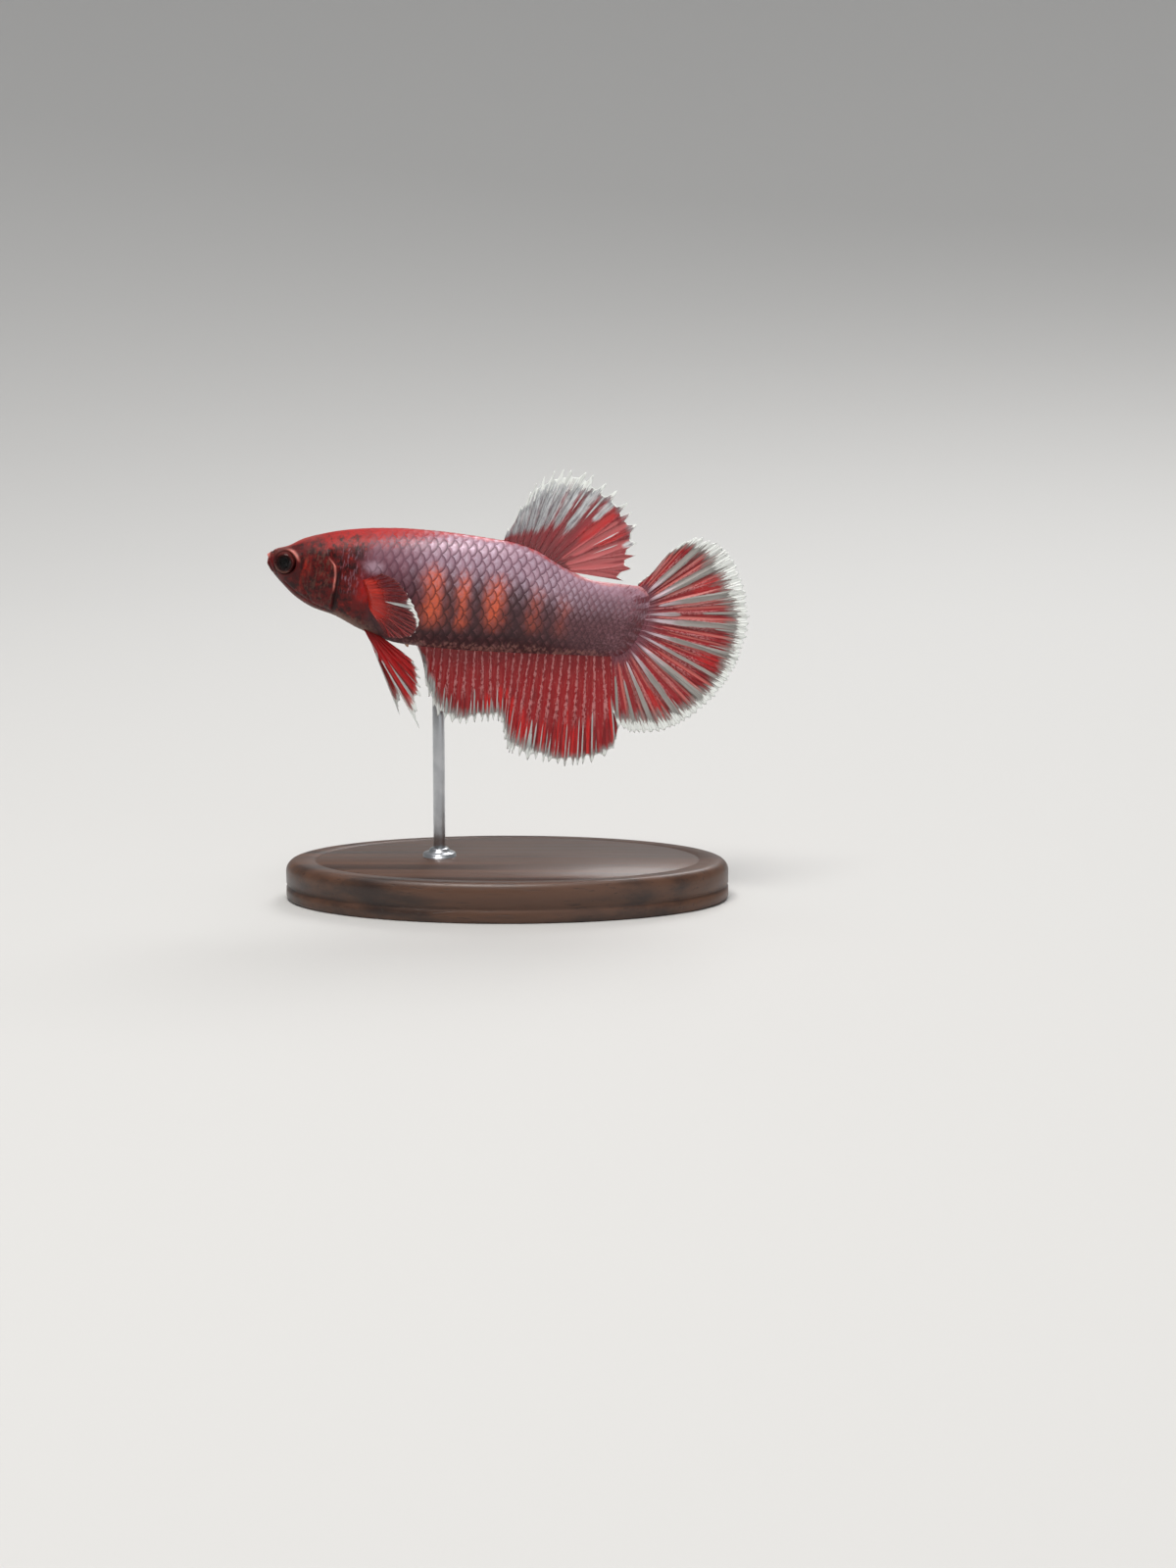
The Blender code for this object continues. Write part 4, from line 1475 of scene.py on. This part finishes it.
@dataclass
class Fin:
    """A fin: rays fanned from a base line to a spiked margin, with a thin membrane."""

    name: str
    nodes: tuple[str, ...]
    finish: FinFinish
    spikes: Spikes
    base: Callable[[Array], Array]
    tips: tuple
    # how far aside the fin lies, from the shares of the span and the reach and the length
    sway: Callable[[Array, Array, Array], Array]
    # share of the span against share of the base line, and width of the white margin
    roots: tuple = ((0, 0), (1, 1))
    hem: tuple = ((0, 0.8), (1, 0.8))
    marks: tuple[Mark, ...] = ()
    rows: int = 56
    thick: float = 0.30
    thin: float = 0.42
    pleat: float = 0.07
    fold: float = 0.10
    # how unevenly the tips are spaced, and how far short some fall, as shares
    uneven: float = 0.35
    shortfall: float = 0.35
    # half widths from a silver streak to the painted shade beside it
    shade_aside: float = 1.25
    # a ray's half width as a share of the ray spacing, how far it forks, and how
    # thick the membrane and the margin are against a ray at its root
    rib: float = 0.16
    fork: float = 0.25
    web: float = 0.25
    taper: float = 0.55
    seed: int = 1
    side: Side = Side.RIGHT
    shift: Callable[[Array], Array] | None = None

    def spread(self, across: Array) -> tuple[Array, Array]:
        """Give each column's share of the span and how far it falls short of the tips."""
        rng = np.random.default_rng(SEED + self.seed)
        spans = self.spikes.count - 1
        gaps = 1 + rng.uniform(-self.uneven, self.uneven, spans)
        marks = np.concatenate(([0], gaps.cumsum())) / gaps.sum()
        size = 1 + self.spikes.wander * rng.uniform(-1, 1, spans + 1)
        short = self.shortfall * self.spikes.depth * rng.uniform(0, 1, spans + 1)
        place = across * spans
        nearest = np.round(place).astype(int)
        away = np.minimum(2 * np.abs(place - nearest), 1)
        valley = self.spikes.depth * ease(-0.12, self.spikes.blunt, away)
        lower = np.minimum(np.floor(place).astype(int), spans - 1)
        mean_short = (short[lower] + short[lower + 1]) / 2
        mean_size = (size[lower] + size[lower + 1]) / 2
        blend = ease(0, 1, away)
        fall = (valley * (size[nearest] * (1 - blend) + mean_size * blend)
                + short[nearest] * (1 - blend) + mean_short * blend)
        return np.interp(place, np.arange(spans + 1), marks), fall

    def flat(self, share: Array, out: Array) -> tuple[Array, Array]:
        """Give u and v at a share of the span and of the reach, and the rays' length."""
        root = self.base(curve_through(self.roots)(share)[:, 0])
        run = curve_through(self.tips)(share) - root
        return root + run * out[:, None], np.hypot(run[:, 0], run[:, 1])

    def paint(self, kind: Stripe, share: Array, out: Array, gauge: Array,
              aside: float = 0.0) -> Array:
        """Give how strongly the marks of a kind show.

        Args:
            kind: the marks' kind.
            share: share of the span.
            out: share of the reach.
            gauge: millimetres for the whole span at that reach.
            aside: how many half widths to move the marks along the span.

        Returns:
            The strength, 0 to 1.
        """
        level = np.zeros(len(share))
        for mark in self.marks:
            if mark.kind is kind:
                level = np.maximum(level, mark.level(share, out, gauge, aside))
        return level

    def gauge(self, share: Array, out: Array, step: float = 0.002) -> Array:
        """Give how many millimetres the whole span would measure at each point's reach."""
        high, low = np.clip(share + step, 0, 1), np.clip(share - step, 0, 1)
        run = self.flat(high, out)[0] - self.flat(low, out)[0]
        return np.linalg.norm(run, axis=-1) / (high - low)

    def build(self) -> Piece:
        """Make the fin and what its material reads."""
        columns = (self.spikes.count - 1) * self.spikes.steps
        obj, across, along = add_sheet(self.name, columns, self.rows)
        share, fall = self.spread(across)
        _, length = self.flat(share, along)
        out = along * (1 - fall / length)
        (u, v), gauge = self.flat(share, out)[0].T, self.gauge(share, out)
        silver = self.paint(Stripe.SILVER, share, out, gauge)
        ray = share * self.finish.rays
        pleat = self.pleat * np.cos(TAU * ray) * ease(0.02, 0.4, out)
        w = self.sway(share, out, length) + pleat - self.fold * silver
        points = np.stack((u, w, v), -1)
        if self.shift:
            points = self.shift(points)
        write_points(obj, points * (1, self.side.hand, 1))

        hem = np.maximum(curve_through(self.hem)(share)[:, 0], 0.02)
        stored = {"span": share, "out": out, "reach": out * length,
                  "rim": (1 - along) * (length - fall), "band": (1 - out) * length / hem,
                  "shade": self.paint(Stripe.SILVER, share, out, gauge, self.shade_aside)}
        stored |= {kind.value: self.paint(kind, share, out, gauge) for kind in Stripe}
        for name, values in stored.items():
            set_attribute(obj, name, values)
        self.thicken(obj, ray, out)
        settle(obj)
        return dress(obj, self.finish.material(), Slot.FIN, *self.nodes)

    def thicken(self, obj: Piece, ray: Array, out: Array) -> None:
        """Give the sheet a body: rays thicker than the membrane, thin at the margin."""
        across_ray = np.abs(ray % 1.0 - 0.5)
        fork = self.fork * ease(0.3, 1.0, out)
        ridge = ease(self.rib, 0.0, np.abs(across_ray - fork))
        weight = (self.web + (1 - self.web) * ridge) * (1 - self.taper * out)
        group = obj.vertex_groups.new(name="thick")
        for index, value in enumerate(weight):
            group.add([index], float(value), "REPLACE")
        apply_modifier(obj, "SOLIDIFY", thickness=self.thick, offset=0,
                       vertex_group="thick", thickness_vertex_group=self.thin)
        obj.vertex_groups.clear()


@dataclass
class Fins:
    """All the fins, on the base lines of the body."""

    sink: float = 0.45
    dorsal_base: tuple = (28.8, 37.6)
    dorsal_crowding: float = 0.8
    dorsal_tips: tuple = (
        (0, 29.2, 8.2), (0.07, 30.5, 11.3), (0.14, 31.4, 13.0), (0.21, 32.3, 14.6),
        (0.31, 34.6, 16.1), (0.46, 38.2, 16.3), (0.58, 41.0, 15.3), (0.70, 43.8, 13.0),
        (0.82, 45.3, 9.9), (0.92, 45.7, 6.5), (1, 44.7, 3.4),
    )
    dorsal_marks: tuple = (
        *stripes(Stripe.HAZE, *((share, 1.25, 0.24) for share in (0.0, 0.07, 0.14, 0.21, 0.28)),
                 drift=0.02, soft=0.3),
        *stripes(Stripe.HAZE, (0.35, 0.95, 0.30), (0.445, 0.7, 0.34), (0.55, 0.55, 0.33), soft=0.3),
        *stripes(Stripe.HAZE, (0.645, 0.42, 0.60), (0.86, 0.40, 0.80)),
        *stripes(Stripe.VIVID, (0.685, 0.75, 0.35, 0.86, -0.005, 0.25),
                 (0.80, 0.50, 0.50, 0.84, 0.0, 0.2)),
        *stripes(Stripe.BLUSH, (0.765, 0.5, 0.2, 0.9), (0.735, 0.35, 0.1, 0.8), (0.86, 0.7, 0.1),
                 (0.905, 0.5, 0.1), (0.945, 0.5, 0.1), (0.98, 0.5, 0.1)),
        # painted highlights on the rosy rear panels
        *stripes(Stripe.SILVER, (0.785, 0.16, 0.45, 0.75), (0.845, 0.10, 0.4, 0.75), soft=0.6),
        *stripes(Stripe.SILVER, (0.60, 0.16, 0.5, 0.9), (0.50, 0.14, 0.5, 0.9), soft=0.5),
    )
    # share of the span, share of the base line, u and v of the ray's tip
    tail_rays: tuple = (
        (0, 0.0, 46.2, 3.6), (0.02, 0.04, 47.6, 4.9), (0.05, 0.09, 50.3, 8.7),
        (0.09, 0.17, 52.9, 10.2), (0.16, 0.24, 55.6, 9.6), (0.24, 0.31, 57.5, 8.1),
        (0.34, 0.375, 59.9, 3.7),
        (0.43, 0.45, 60.75, 0.1), (0.54, 0.56, 60.25, -4.0), (0.63, 0.615, 59.0, -7.4),
        (0.72, 0.68, 57.2, -10.3), (0.81, 0.765, 54.5, -13.1), (0.89, 0.84, 51.2, -14.9),
        (0.95, 0.91, 48.3, -15.4), (0.985, 0.96, 46.4, -14.8), (1, 1.0, 45.5, -13.2),
    )
    tail_marks: tuple = (
        *stripes(Stripe.SILVER, (0.045, 0.14, 0.3, 0.85), (0.115, 0.46, 0.05),
                 (0.235, 0.56, 0.05), (0.325, 0.46, 0.16), (0.40, 0.32, 0.03, 0.36, -0.01, 0.2),
                 (0.39, 0.2, 0.55), (0.45, 0.42, 0.03, 1.0, -0.014),
                 (0.556, 0.32, 0.03, 1, -0.016), (0.622, 0.25, 0.03, 1.0, 0.01),
                 (0.72, 0.46, 0.05), (0.806, 0.42, 0.07, 1.1, 0.006), (0.889, 0.34, 0.14),
                 (0.94, 0.18, 0.34), (0.985, 0.2, 0.3)),
        *stripes(Stripe.VIVID, (0.585, 1.1, 0.6, 0.86, 0.0, 0.3), (0.28, 0.8, 0.5, 0.85),
                 (0.845, 0.7, 0.5, 0.9)),
        *comb(Stripe.SILVER, 40, 0.08, 0.98, 0.09, 0.66, 21),
        *comb(Stripe.BLUSH, 26, 0.03, 0.97, 0.22, 0.05, 22, 0.3),
    )
    anal_base: tuple = (19.7, 44.6)
    anal_tips: tuple = (
        (0, 21.6, -11.0), (0.05, 21.8, -13.3), (0.10, 22.6, -15.4), (0.16, 24.1, -17.3),
        (0.24, 26.2, -17.8), (0.34, 29.4, -17.2), (0.45, 31.8, -16.6), (0.49, 32.4, -18.4),
        (0.56, 33.5, -20.4), (0.66, 36.2, -20.9), (0.80, 40.7, -21.0), (0.91, 44.3, -19.8),
        (0.96, 46.4, -17.8), (1, 46.6, -15.2),
    )
    anal_marks: tuple = (
        *stripes(Stripe.SILVER, (0.0, 0.55, 0.05), (0.055, 0.34, 0.45), (0.115, 0.26, 0.55),
                 (0.185, 0.16, 0.68), (0.64, 0.34, 0.62), (0.99, 0.16, 0.3), (0.965, 0.12, 0.4)),
        *stripes(Stripe.HAZE, (0.03, 1.1, 0.30), (0.10, 0.9, 0.55), soft=0.3),
        *comb(Stripe.SILVER, 46, 0.16, 0.97, 0.075, 0.48, 31),
        *comb(Stripe.VIVID, 12, 0.35, 0.97, 0.5, 0.45, 32, 0.2),
    )
    ventral_base: tuple = (13.1, 15.2)
    ventral_tips: tuple = (
        (0, 21.9, -18.4), (0.2, 21.3, -15.8), (0.4, 21.5, -14.0), (0.6, 21.2, -12.5),
        (0.8, 20.6, -10.9), (1, 18.9, -9.7),
    )
    ventral_root: float = 1.1
    ventral_swing: float = math.radians(9)
    far_turn: float = math.radians(-10)
    far_size: float = 0.87
    pectoral_base: tuple = ((12.3, -0.9), (13.5, -4.0))
    pectoral_swing: float = math.radians(24)
    pectoral_tips: tuple = (
        (0, 14.7, 0.6), (0.15, 16.4, 0.2), (0.35, 18.0, -1.2), (0.55, 19.3, -2.9),
        (0.72, 20.1, -4.6), (0.85, 19.8, -6.0), (0.94, 18.2, -7.0), (1, 16.5, -7.2),
    )

    def on_back(self, share: Array) -> Array:
        """Give the dorsal fin's base line."""
        start, end = self.dorsal_base
        u = start + (end - start) * share ** self.dorsal_crowding
        return np.stack((u, ANATOMY.profile(u)[0] - self.sink), -1)

    def on_belly(self, start: float, end: float) -> Callable[[Array], Array]:
        """Give a base line along the belly."""
        def line(share: Array) -> Array:
            u = start + (end - start) * share
            return np.stack((u, ANATOMY.profile(u)[1] + self.sink), -1)
        return line

    def round_tail(self, share: Array) -> Array:
        """Give the tail fin's base line, an arc round the tail base."""
        turn = math.pi * (0.5 - share)
        back, belly, _, _, middle = ANATOMY.profile(np.full_like(share, ANATOMY.root_u))
        height = np.where(turn > 0, back - middle, middle - belly) - self.sink
        sine = np.sin(turn)
        u = ANATOMY.root_u + ANATOMY.root_lean * sine * np.abs(sine)
        out = (ANATOMY.root_bulge - 2 * self.sink) * np.cos(turn)
        return np.stack((u + out, middle + height * sine), -1)

    def pectoral_line(self, share: Array) -> Array:
        """Give the pectoral fin's base line."""
        start, end = np.array(self.pectoral_base)
        return start + (end - start) * share[:, None]

    def pectoral_sway(self, share: Array, out: Array, length: Array) -> Array:
        """Swing the pectoral fin out from the flank."""
        root = self.pectoral_line(share)
        flank = ANATOMY.side_at(root[:, 0], root[:, 1])
        away = 0.8 * ease(0.0, 0.14, out) - 0.25 * ease(0.1, 0.0, out)
        cup = 0.35 * out * np.sin(math.pi * share)
        return flank + away + out * length * math.tan(self.pectoral_swing) - cup

    def ventral_sway(self, share: Array, out: Array, length: Array) -> Array:
        """Swing the ventral fin out a little."""
        swing = out * length * math.tan(self.ventral_swing)
        return self.ventral_root + swing + 0.12 * np.sin(5 * share) * out

    def far_ventral(self, points: Array) -> Array:
        """Turn and shorten the right ventral fin about its front root."""
        turn, size = self.far_turn, self.far_size
        root = self.on_belly(*self.ventral_base)(np.zeros(1))[0]
        du, dv = (points[:, 0] - root[0]) * size, (points[:, 2] - root[1]) * size
        u = root[0] + du * math.cos(turn) - dv * math.sin(turn)
        v = root[1] + du * math.sin(turn) + dv * math.cos(turn)
        return np.stack((u, points[:, 1], v), -1)

    def build(self) -> None:
        """Make every fin."""
        for fin in (self.dorsal(), self.tail(), self.anal()):
            fin.build()
        for side in Side:
            self.pectoral(side).build()
            self.ventral(side).build()

    def dorsal(self) -> Fin:
        """The dorsal fin: wine red below, grey and white above, rosy behind with painted
        highlights.
        """
        finish = FinFinish(Look.DORSAL, 13, clear=0.22, beads=0.1, mist=0.7,
                           root=srgb(122, 12, 26), red=srgb(154, 26, 38), blush=srgb(204, 92, 94),
                           smoke=srgb(116, 114, 120), silver=srgb(224, 230, 232))
        return Fin("dorsal_membrane", ("dorsal_fin",), finish,
                   Spikes(19, 1.25, 0.35, 0.6, steps=14),
                   self.on_back, self.dorsal_tips, ripple(0.35, 5),
                   roots=((0, 0), (0.4, 0.395), (0.7, 0.68), (0.88, 0.79), (0.95, 0.865),
                          (1, 0.91)),
                   hem=((0, 0.5), (0.06, 1.2), (0.16, 2.6), (0.34, 3.2), (0.46, 2.8), (0.56, 2.2),
                        (0.66, 1.5), (0.76, 1.1), (0.86, 0.9), (0.93, 0.5), (1, 0.25)),
                   marks=self.dorsal_marks, seed=1)

    def tail(self) -> Fin:
        """The tail fin with its silver streaks."""
        finish = FinFinish(Look.CAUDAL, 27, clear=0.08, beads=0.5, bead_reach=(0.05, 0.66),
                           root=srgb(120, 38, 50), red=srgb(156, 20, 30), fleshy=0.19,
                           silver=srgb(162, 162, 157), frost=srgb(222, 202, 212),
                           vivid=srgb(196, 24, 26))
        return Fin("tail_membrane", ("tail_fin",), finish, Spikes(61, 0.40, 0.5, 0.95, steps=6),
                   self.round_tail, tuple((at, *tip) for at, _, *tip in self.tail_rays),
                   ripple(0.5, 4, 0.6),
                   roots=tuple(ray[:2] for ray in self.tail_rays),
                   hem=((0, 0.4), (0.06, 1.0), (0.12, 1.8), (0.22, 2.6), (0.32, 2.2), (0.42, 1.8),
                        (0.52, 1.6), (0.64, 1.4), (0.74, 1.4), (0.84, 1.7), (0.93, 2.0), (1, 0.8)),
                   marks=self.tail_marks, seed=2, rows=54)

    def anal(self) -> Fin:
        """The anal fin, beaded above and streaked below."""
        finish = FinFinish(Look.ANAL, 25, clear=0.05, beads=0.72, bead_reach=(-0.1, 0.60),
                           bead_beat=1.9, root=srgb(132, 8, 18), red=srgb(160, 8, 20))
        return Fin("anal_membrane", ("anal_fin",), finish, Spikes(36, 0.80, 0.6, 0.65, steps=8),
                   self.on_belly(*self.anal_base), self.anal_tips, ripple(0.25, 7),
                   hem=((0, 0.7), (0.05, 1.5), (0.15, 1.8), (0.3, 1.3), (0.44, 1.3), (0.5, 1.8),
                        (0.62, 1.7), (0.8, 1.1), (0.93, 1.1), (1, 0.4)),
                   marks=self.anal_marks, seed=3)

    def pectoral(self, side: Side) -> Fin:
        """A pectoral fin, clear towards its margin, with a painted highlight on its folded trailing
        edge.
        """
        finish = FinFinish(Look.PAIRED, 12, clear=0.74, clear_from=0.42, beads=0.0,
                           hemmed=0.05, vein=0.4, deep=srgb(140, 14, 14), root_reach=0.75,
                           root=srgb(188, 38, 24), red=srgb(108, 13, 16), mist=0.2,
                           smoke=srgb(190, 150, 150), vivid=srgb(206, 46, 28))
        return Fin(f"pectoral_membrane_{side.value}", (f"pectoral_fin_{side.value}",), finish,
                   Spikes(15, 0.14, 0.5, steps=10), self.pectoral_line, self.pectoral_tips,
                   self.pectoral_sway,
                   # the wide white margin round the middle of the span and the silver stripe are a
                   # painted highlight on the folded trailing edge
                   hem=((0, 0.02), (0.40, 0.05), (0.52, 0.9), (0.66, 0.7), (0.8, 0.15), (1, 0.02)),
                   marks=(*stripes(Stripe.SILVER, (0.60, 0.30, 0.40), drift=-0.05, soft=0.3),
                          *stripes(Stripe.VIVID, (0.12, 0.5, 0.0, 0.6), (0.36, 0.5, 0.0, 0.6),
                                   soft=0.7)),
                   rows=40, thick=0.22, pleat=0.035, seed=4, side=side)

    def ventral(self, side: Side) -> Fin:
        """A ventral fin, a white-edged ribbon."""
        finish = FinFinish(Look.PELVIC, 6, clear=0.0, beads=0.0, root=srgb(140, 12, 16),
                           red=srgb(184, 8, 14), vein=0.35, mist=0.5, smoke=srgb(214, 130, 122))
        return Fin(f"ventral_membrane_{side.value}", (f"ventral_fin_{side.value}",), finish,
                   Spikes(8, 0.8, 0.3, 0.9, steps=14), self.on_belly(*self.ventral_base),
                   self.ventral_tips, self.ventral_sway,
                   hem=((0, 3.4), (0.12, 1.8), (0.3, 1.0), (1, 0.7)),
                   marks=stripes(Stripe.SILVER, (0.0, 0.20, 0.1, 0.26), (0.05, 0.42, 0.30, 0.38),
                                 (0.0, 0.55, 0.32), (0.22, 0.30, 0.40), (0.45, 0.16, 0.5)),
                   rows=60, seed=5, side=side,
                   shift=self.far_ventral if side is Side.RIGHT else None)


@dataclass
class Vent:
    """The small cream egg tube in front of the anal fin."""

    centre: tuple = (18.6, -8.75)
    length: float = 0.95
    radius: float = 0.36
    taper: float = 0.35
    slant: float = 0.25
    sink: float = 0.45

    def build(self) -> Piece:
        """Make the tube from a ball drawn out to a blunt cone."""
        obj, points = add_ball("egg_tube", 32, 24)
        down = -points[:, 2]
        width = self.radius * (1 - self.taper * ease(-0.2, 1, down))
        u = self.centre[0] + points[:, 0] * width + self.slant * down
        v = self.centre[1] + self.sink - self.length * 0.5 * (down + 0.2)
        write_points(obj, np.stack((u, points[:, 1] * width, v), -1))
        face_out(obj)
        settle(obj)
        tree = Tree("egg_tube", coat_weight=0.4, coat_roughness=0.15)
        cloud = tree.noise(tree.in_fish(), 2.5, 2)
        colour = tree.mix(cloud.smooth(0.4, 0.65), srgb(222, 200, 172), srgb(196, 150, 128))
        tree.bump(cloud, 0.00004, 0.5)
        return dress(obj, tree.finish(base_color=colour, roughness=0.3 + cloud * 0.1), Slot.SKIN)


# --- the stand --------------------------------------------------------------------


@dataclass
class Stand:
    """An oval hardwood foot and a steel rod with a turned collar."""

    length: float = 56.0
    width: float = 32.0
    height: float = 5.0
    round_edge: float = 1.4
    sides: int = 192
    rod_radius: float = 0.75
    rod_u: float = 22.0
    rod_side: float = 1.6
    rod_top: float = -4.8
    rod_foot: float = 3.4
    rod_sides: int = 64
    collar_radius: float = 2.1
    collar_height: float = 1.1
    collar_sides: int = 96

    def turned(self, name: str, outline: Outline, sides: int,
               centre: tuple[float, float],
               scale: tuple[float, float] = (1, 1)) -> Piece:
        """Turn an outline into a closed solid.

        Args:
            name: the piece's name.
            outline: radius and height, in millimetres, from the underside up.
            sides: steps round the axis.
            centre: x and y of the axis.
            scale: stretch along x and y.

        Returns:
            The solid, in the row frame.
        """
        deselect()
        radius, height = outline[0]
        bpy.ops.mesh.primitive_circle_add(vertices=sides, radius=radius, fill_type="NGON",
                                          location=(0, 0, height))
        obj = named(name)
        bpy.ops.object.transform_apply(location=True, rotation=False, scale=False)
        bpy.ops.object.mode_set(mode="EDIT")
        bpy.ops.mesh.select_all(action="SELECT")
        for next_radius, next_height in outline[1:]:
            grow = next_radius / radius
            bpy.ops.mesh.extrude_region_move(
                TRANSFORM_OT_translate={"value": (0, 0, next_height - height)})
            bpy.ops.transform.resize(value=(grow, grow, 1), center_override=(0, 0, 0))
            radius, height = next_radius, next_height
        bpy.ops.object.mode_set(mode="OBJECT")
        face_out(obj)
        points = read_points(obj)
        points[:, 0] = points[:, 0] * scale[0] + centre[0]
        points[:, 1] = points[:, 1] * scale[1] + centre[1]
        write_points(obj, points * MM)
        return obj

    def fillet(self, radius: float, height: float, size: float, steps: int = 8) -> Outline:
        """Give the outline of a rounded outer top edge."""
        turns = [math.pi / 2 * i / steps for i in range(steps + 1)]
        return [(radius - size + size * math.cos(t), height - size + size * math.sin(t))
                for t in turns]

    def foot_outline(self) -> Outline:
        """Give the foot's outline: chamfer, groove, rounded edge and a ring on top."""
        radius, top = self.length / 2, self.height
        return [(radius - 0.5, 0.0), (radius - 0.15, 0.15), (radius, 0.5),
                (radius - 0.02, 1.55), (radius - 0.32, 1.7), (radius - 0.32, 2.0),
                (radius - 0.02, 2.15),
                *self.fillet(radius, top, self.round_edge),
                (radius - 3.4, top), (radius - 3.6, top - 0.12), (radius - 3.9, top - 0.12),
                (radius - 4.1, top), (3.0, top)]

    def collar_outline(self) -> Outline:
        """Give the collar's outline: a low ring and a narrower boss."""
        radius, top = self.collar_radius, self.height
        boss = top + self.collar_height
        return [(radius, top - 0.6), (radius, top + 0.25), *self.fillet(radius, top + 0.55, 0.3, 5),
                (1.35, top + 0.6), (1.25, boss - 0.15), (1.1, boss), (self.rod_radius - 0.05, boss)]

    def build(self) -> None:
        """Make the foot, the rod and the collar."""
        foot = self.turned("stand_foot", self.foot_outline(), self.sides, (0, 0),
                           (1, self.width / self.length))
        dress(foot, WoodFinish().material(), Slot.WOOD, "stand_base")
        steel = SteelFinish().material()
        x, _, top = ANATOMY.world(np.array((self.rod_u, 0, self.rod_top))) / MM
        centre = (x, self.rod_side)
        shaft = [(self.rod_radius, height) for height in (self.rod_foot, 8.0, 20.0, top)]
        rod = self.turned("stand_pin", shaft, self.rod_sides, centre)
        dress(rod, steel, Slot.STEEL, "stand_rod")
        collar = self.turned("stand_collar", self.collar_outline(), self.collar_sides, centre)
        dress(collar, steel, Slot.STEEL)


# --- the studio -------------------------------------------------------------------


@dataclass
class Studio:
    """Pale paper sweep, soft lights and the camera."""

    eye_point: tuple = (0.01021, -0.3975, 0.08465)
    look_down: float = math.radians(10)
    lens: float = 73.5
    sensor: float = 36.0
    clip: tuple = (0.01, 20.0)
    floor: float = 0.35
    bend: float = 1.8
    lean: float = math.radians(62)
    aim: tuple = (0.0, 0.0, 0.035)
    # name, place, size, power and tone
    lights: tuple = (
        ("key", (-0.10, -0.27, 0.66), 0.30, 3.4, (1.0, 0.98, 0.95)),
        ("top", (0.0, 0.2, 1.5), 1.4, 8.0, (1.0, 1.0, 1.0)),
        ("fill", (0.40, -0.60, 0.20), 0.5, 0.45, (0.95, 0.97, 1.0)),
        ("rim", (0.18, 0.45, 0.5), 0.3, 1.6, (1.0, 1.0, 1.0)),
    )
    sky: Colour = (0.9, 0.92, 0.95, 1)
    sky_strength: float = 0.24

    def sweep(self) -> Piece:
        """Make the floor and the backdrop as one wide dish, seen alike from every side."""
        obj, around, out = add_sheet("studio_sweep", 128, 96)
        run = out * (self.floor + self.bend * self.lean)
        turn = np.maximum(run - self.floor, 0) / self.bend
        radius = np.minimum(run, self.floor) + self.bend * np.sin(turn)
        height = self.bend * (1 - np.cos(turn))
        angle = around * TAU
        write_points(obj, np.stack((radius * np.cos(angle), radius * np.sin(angle), height), -1))
        face_out(obj, merge=1e-6, inside=True)
        obj.data.materials.append(PaperFinish().material())
        obj.data.shade_smooth()
        return obj

    def light(self, name: str, place: Sequence[float], size: float, power: float,
              tone: Sequence[float]) -> None:
        """Add a square soft light that looks at the fish."""
        lamp = bpy.data.lights.new(name, "AREA")
        lamp.size, lamp.energy, lamp.color = size, power, tone
        obj = add_object(name, lamp)
        obj.location = place
        away = Vector(self.aim) - Vector(place)
        obj.rotation_euler = away.to_track_quat("-Z", "Y").to_euler()

    def build(self) -> None:
        """Set the sweep, the lights, the world and the camera."""
        self.sweep()
        for row in self.lights:
            self.light(*row)
        world = bpy.context.scene.world or bpy.data.worlds.new("studio")
        bpy.context.scene.world = world
        world.use_nodes = True
        back = world.node_tree.nodes["Background"]
        back.inputs["Color"].default_value = self.sky
        back.inputs["Strength"].default_value = self.sky_strength
        bpy.context.scene.view_settings.view_transform = "Standard"

        lens = bpy.data.cameras.new("camera")
        lens.lens, lens.sensor_width = self.lens, self.sensor
        lens.clip_start, lens.clip_end = self.clip
        camera = add_object("camera", lens)
        camera.location = self.eye_point
        camera.rotation_euler = (math.pi / 2 - self.look_down, 0, 0)
        bpy.context.scene.camera = camera


def main() -> None:
    """Build the fish, its stand and the studio."""
    logging.basicConfig(level=logging.INFO, format="%(name)s %(message)s")
    rng = np.random.default_rng(SEED)
    girth, skin = Girth(ANATOMY), Skin()
    skin.build(girth)
    scale_material = ScaleFinish().material()
    for side in (Side.LEFT, Side.RIGHT):
        Scales().lay(side, girth, skin, rng, scale_material)
    for side in (Side.LEFT, Side.RIGHT):
        Eye(side).build()
    Fins().build()
    Vent().build()
    Stand().build()
    Studio().build()


if __name__ == "__main__":
    main()
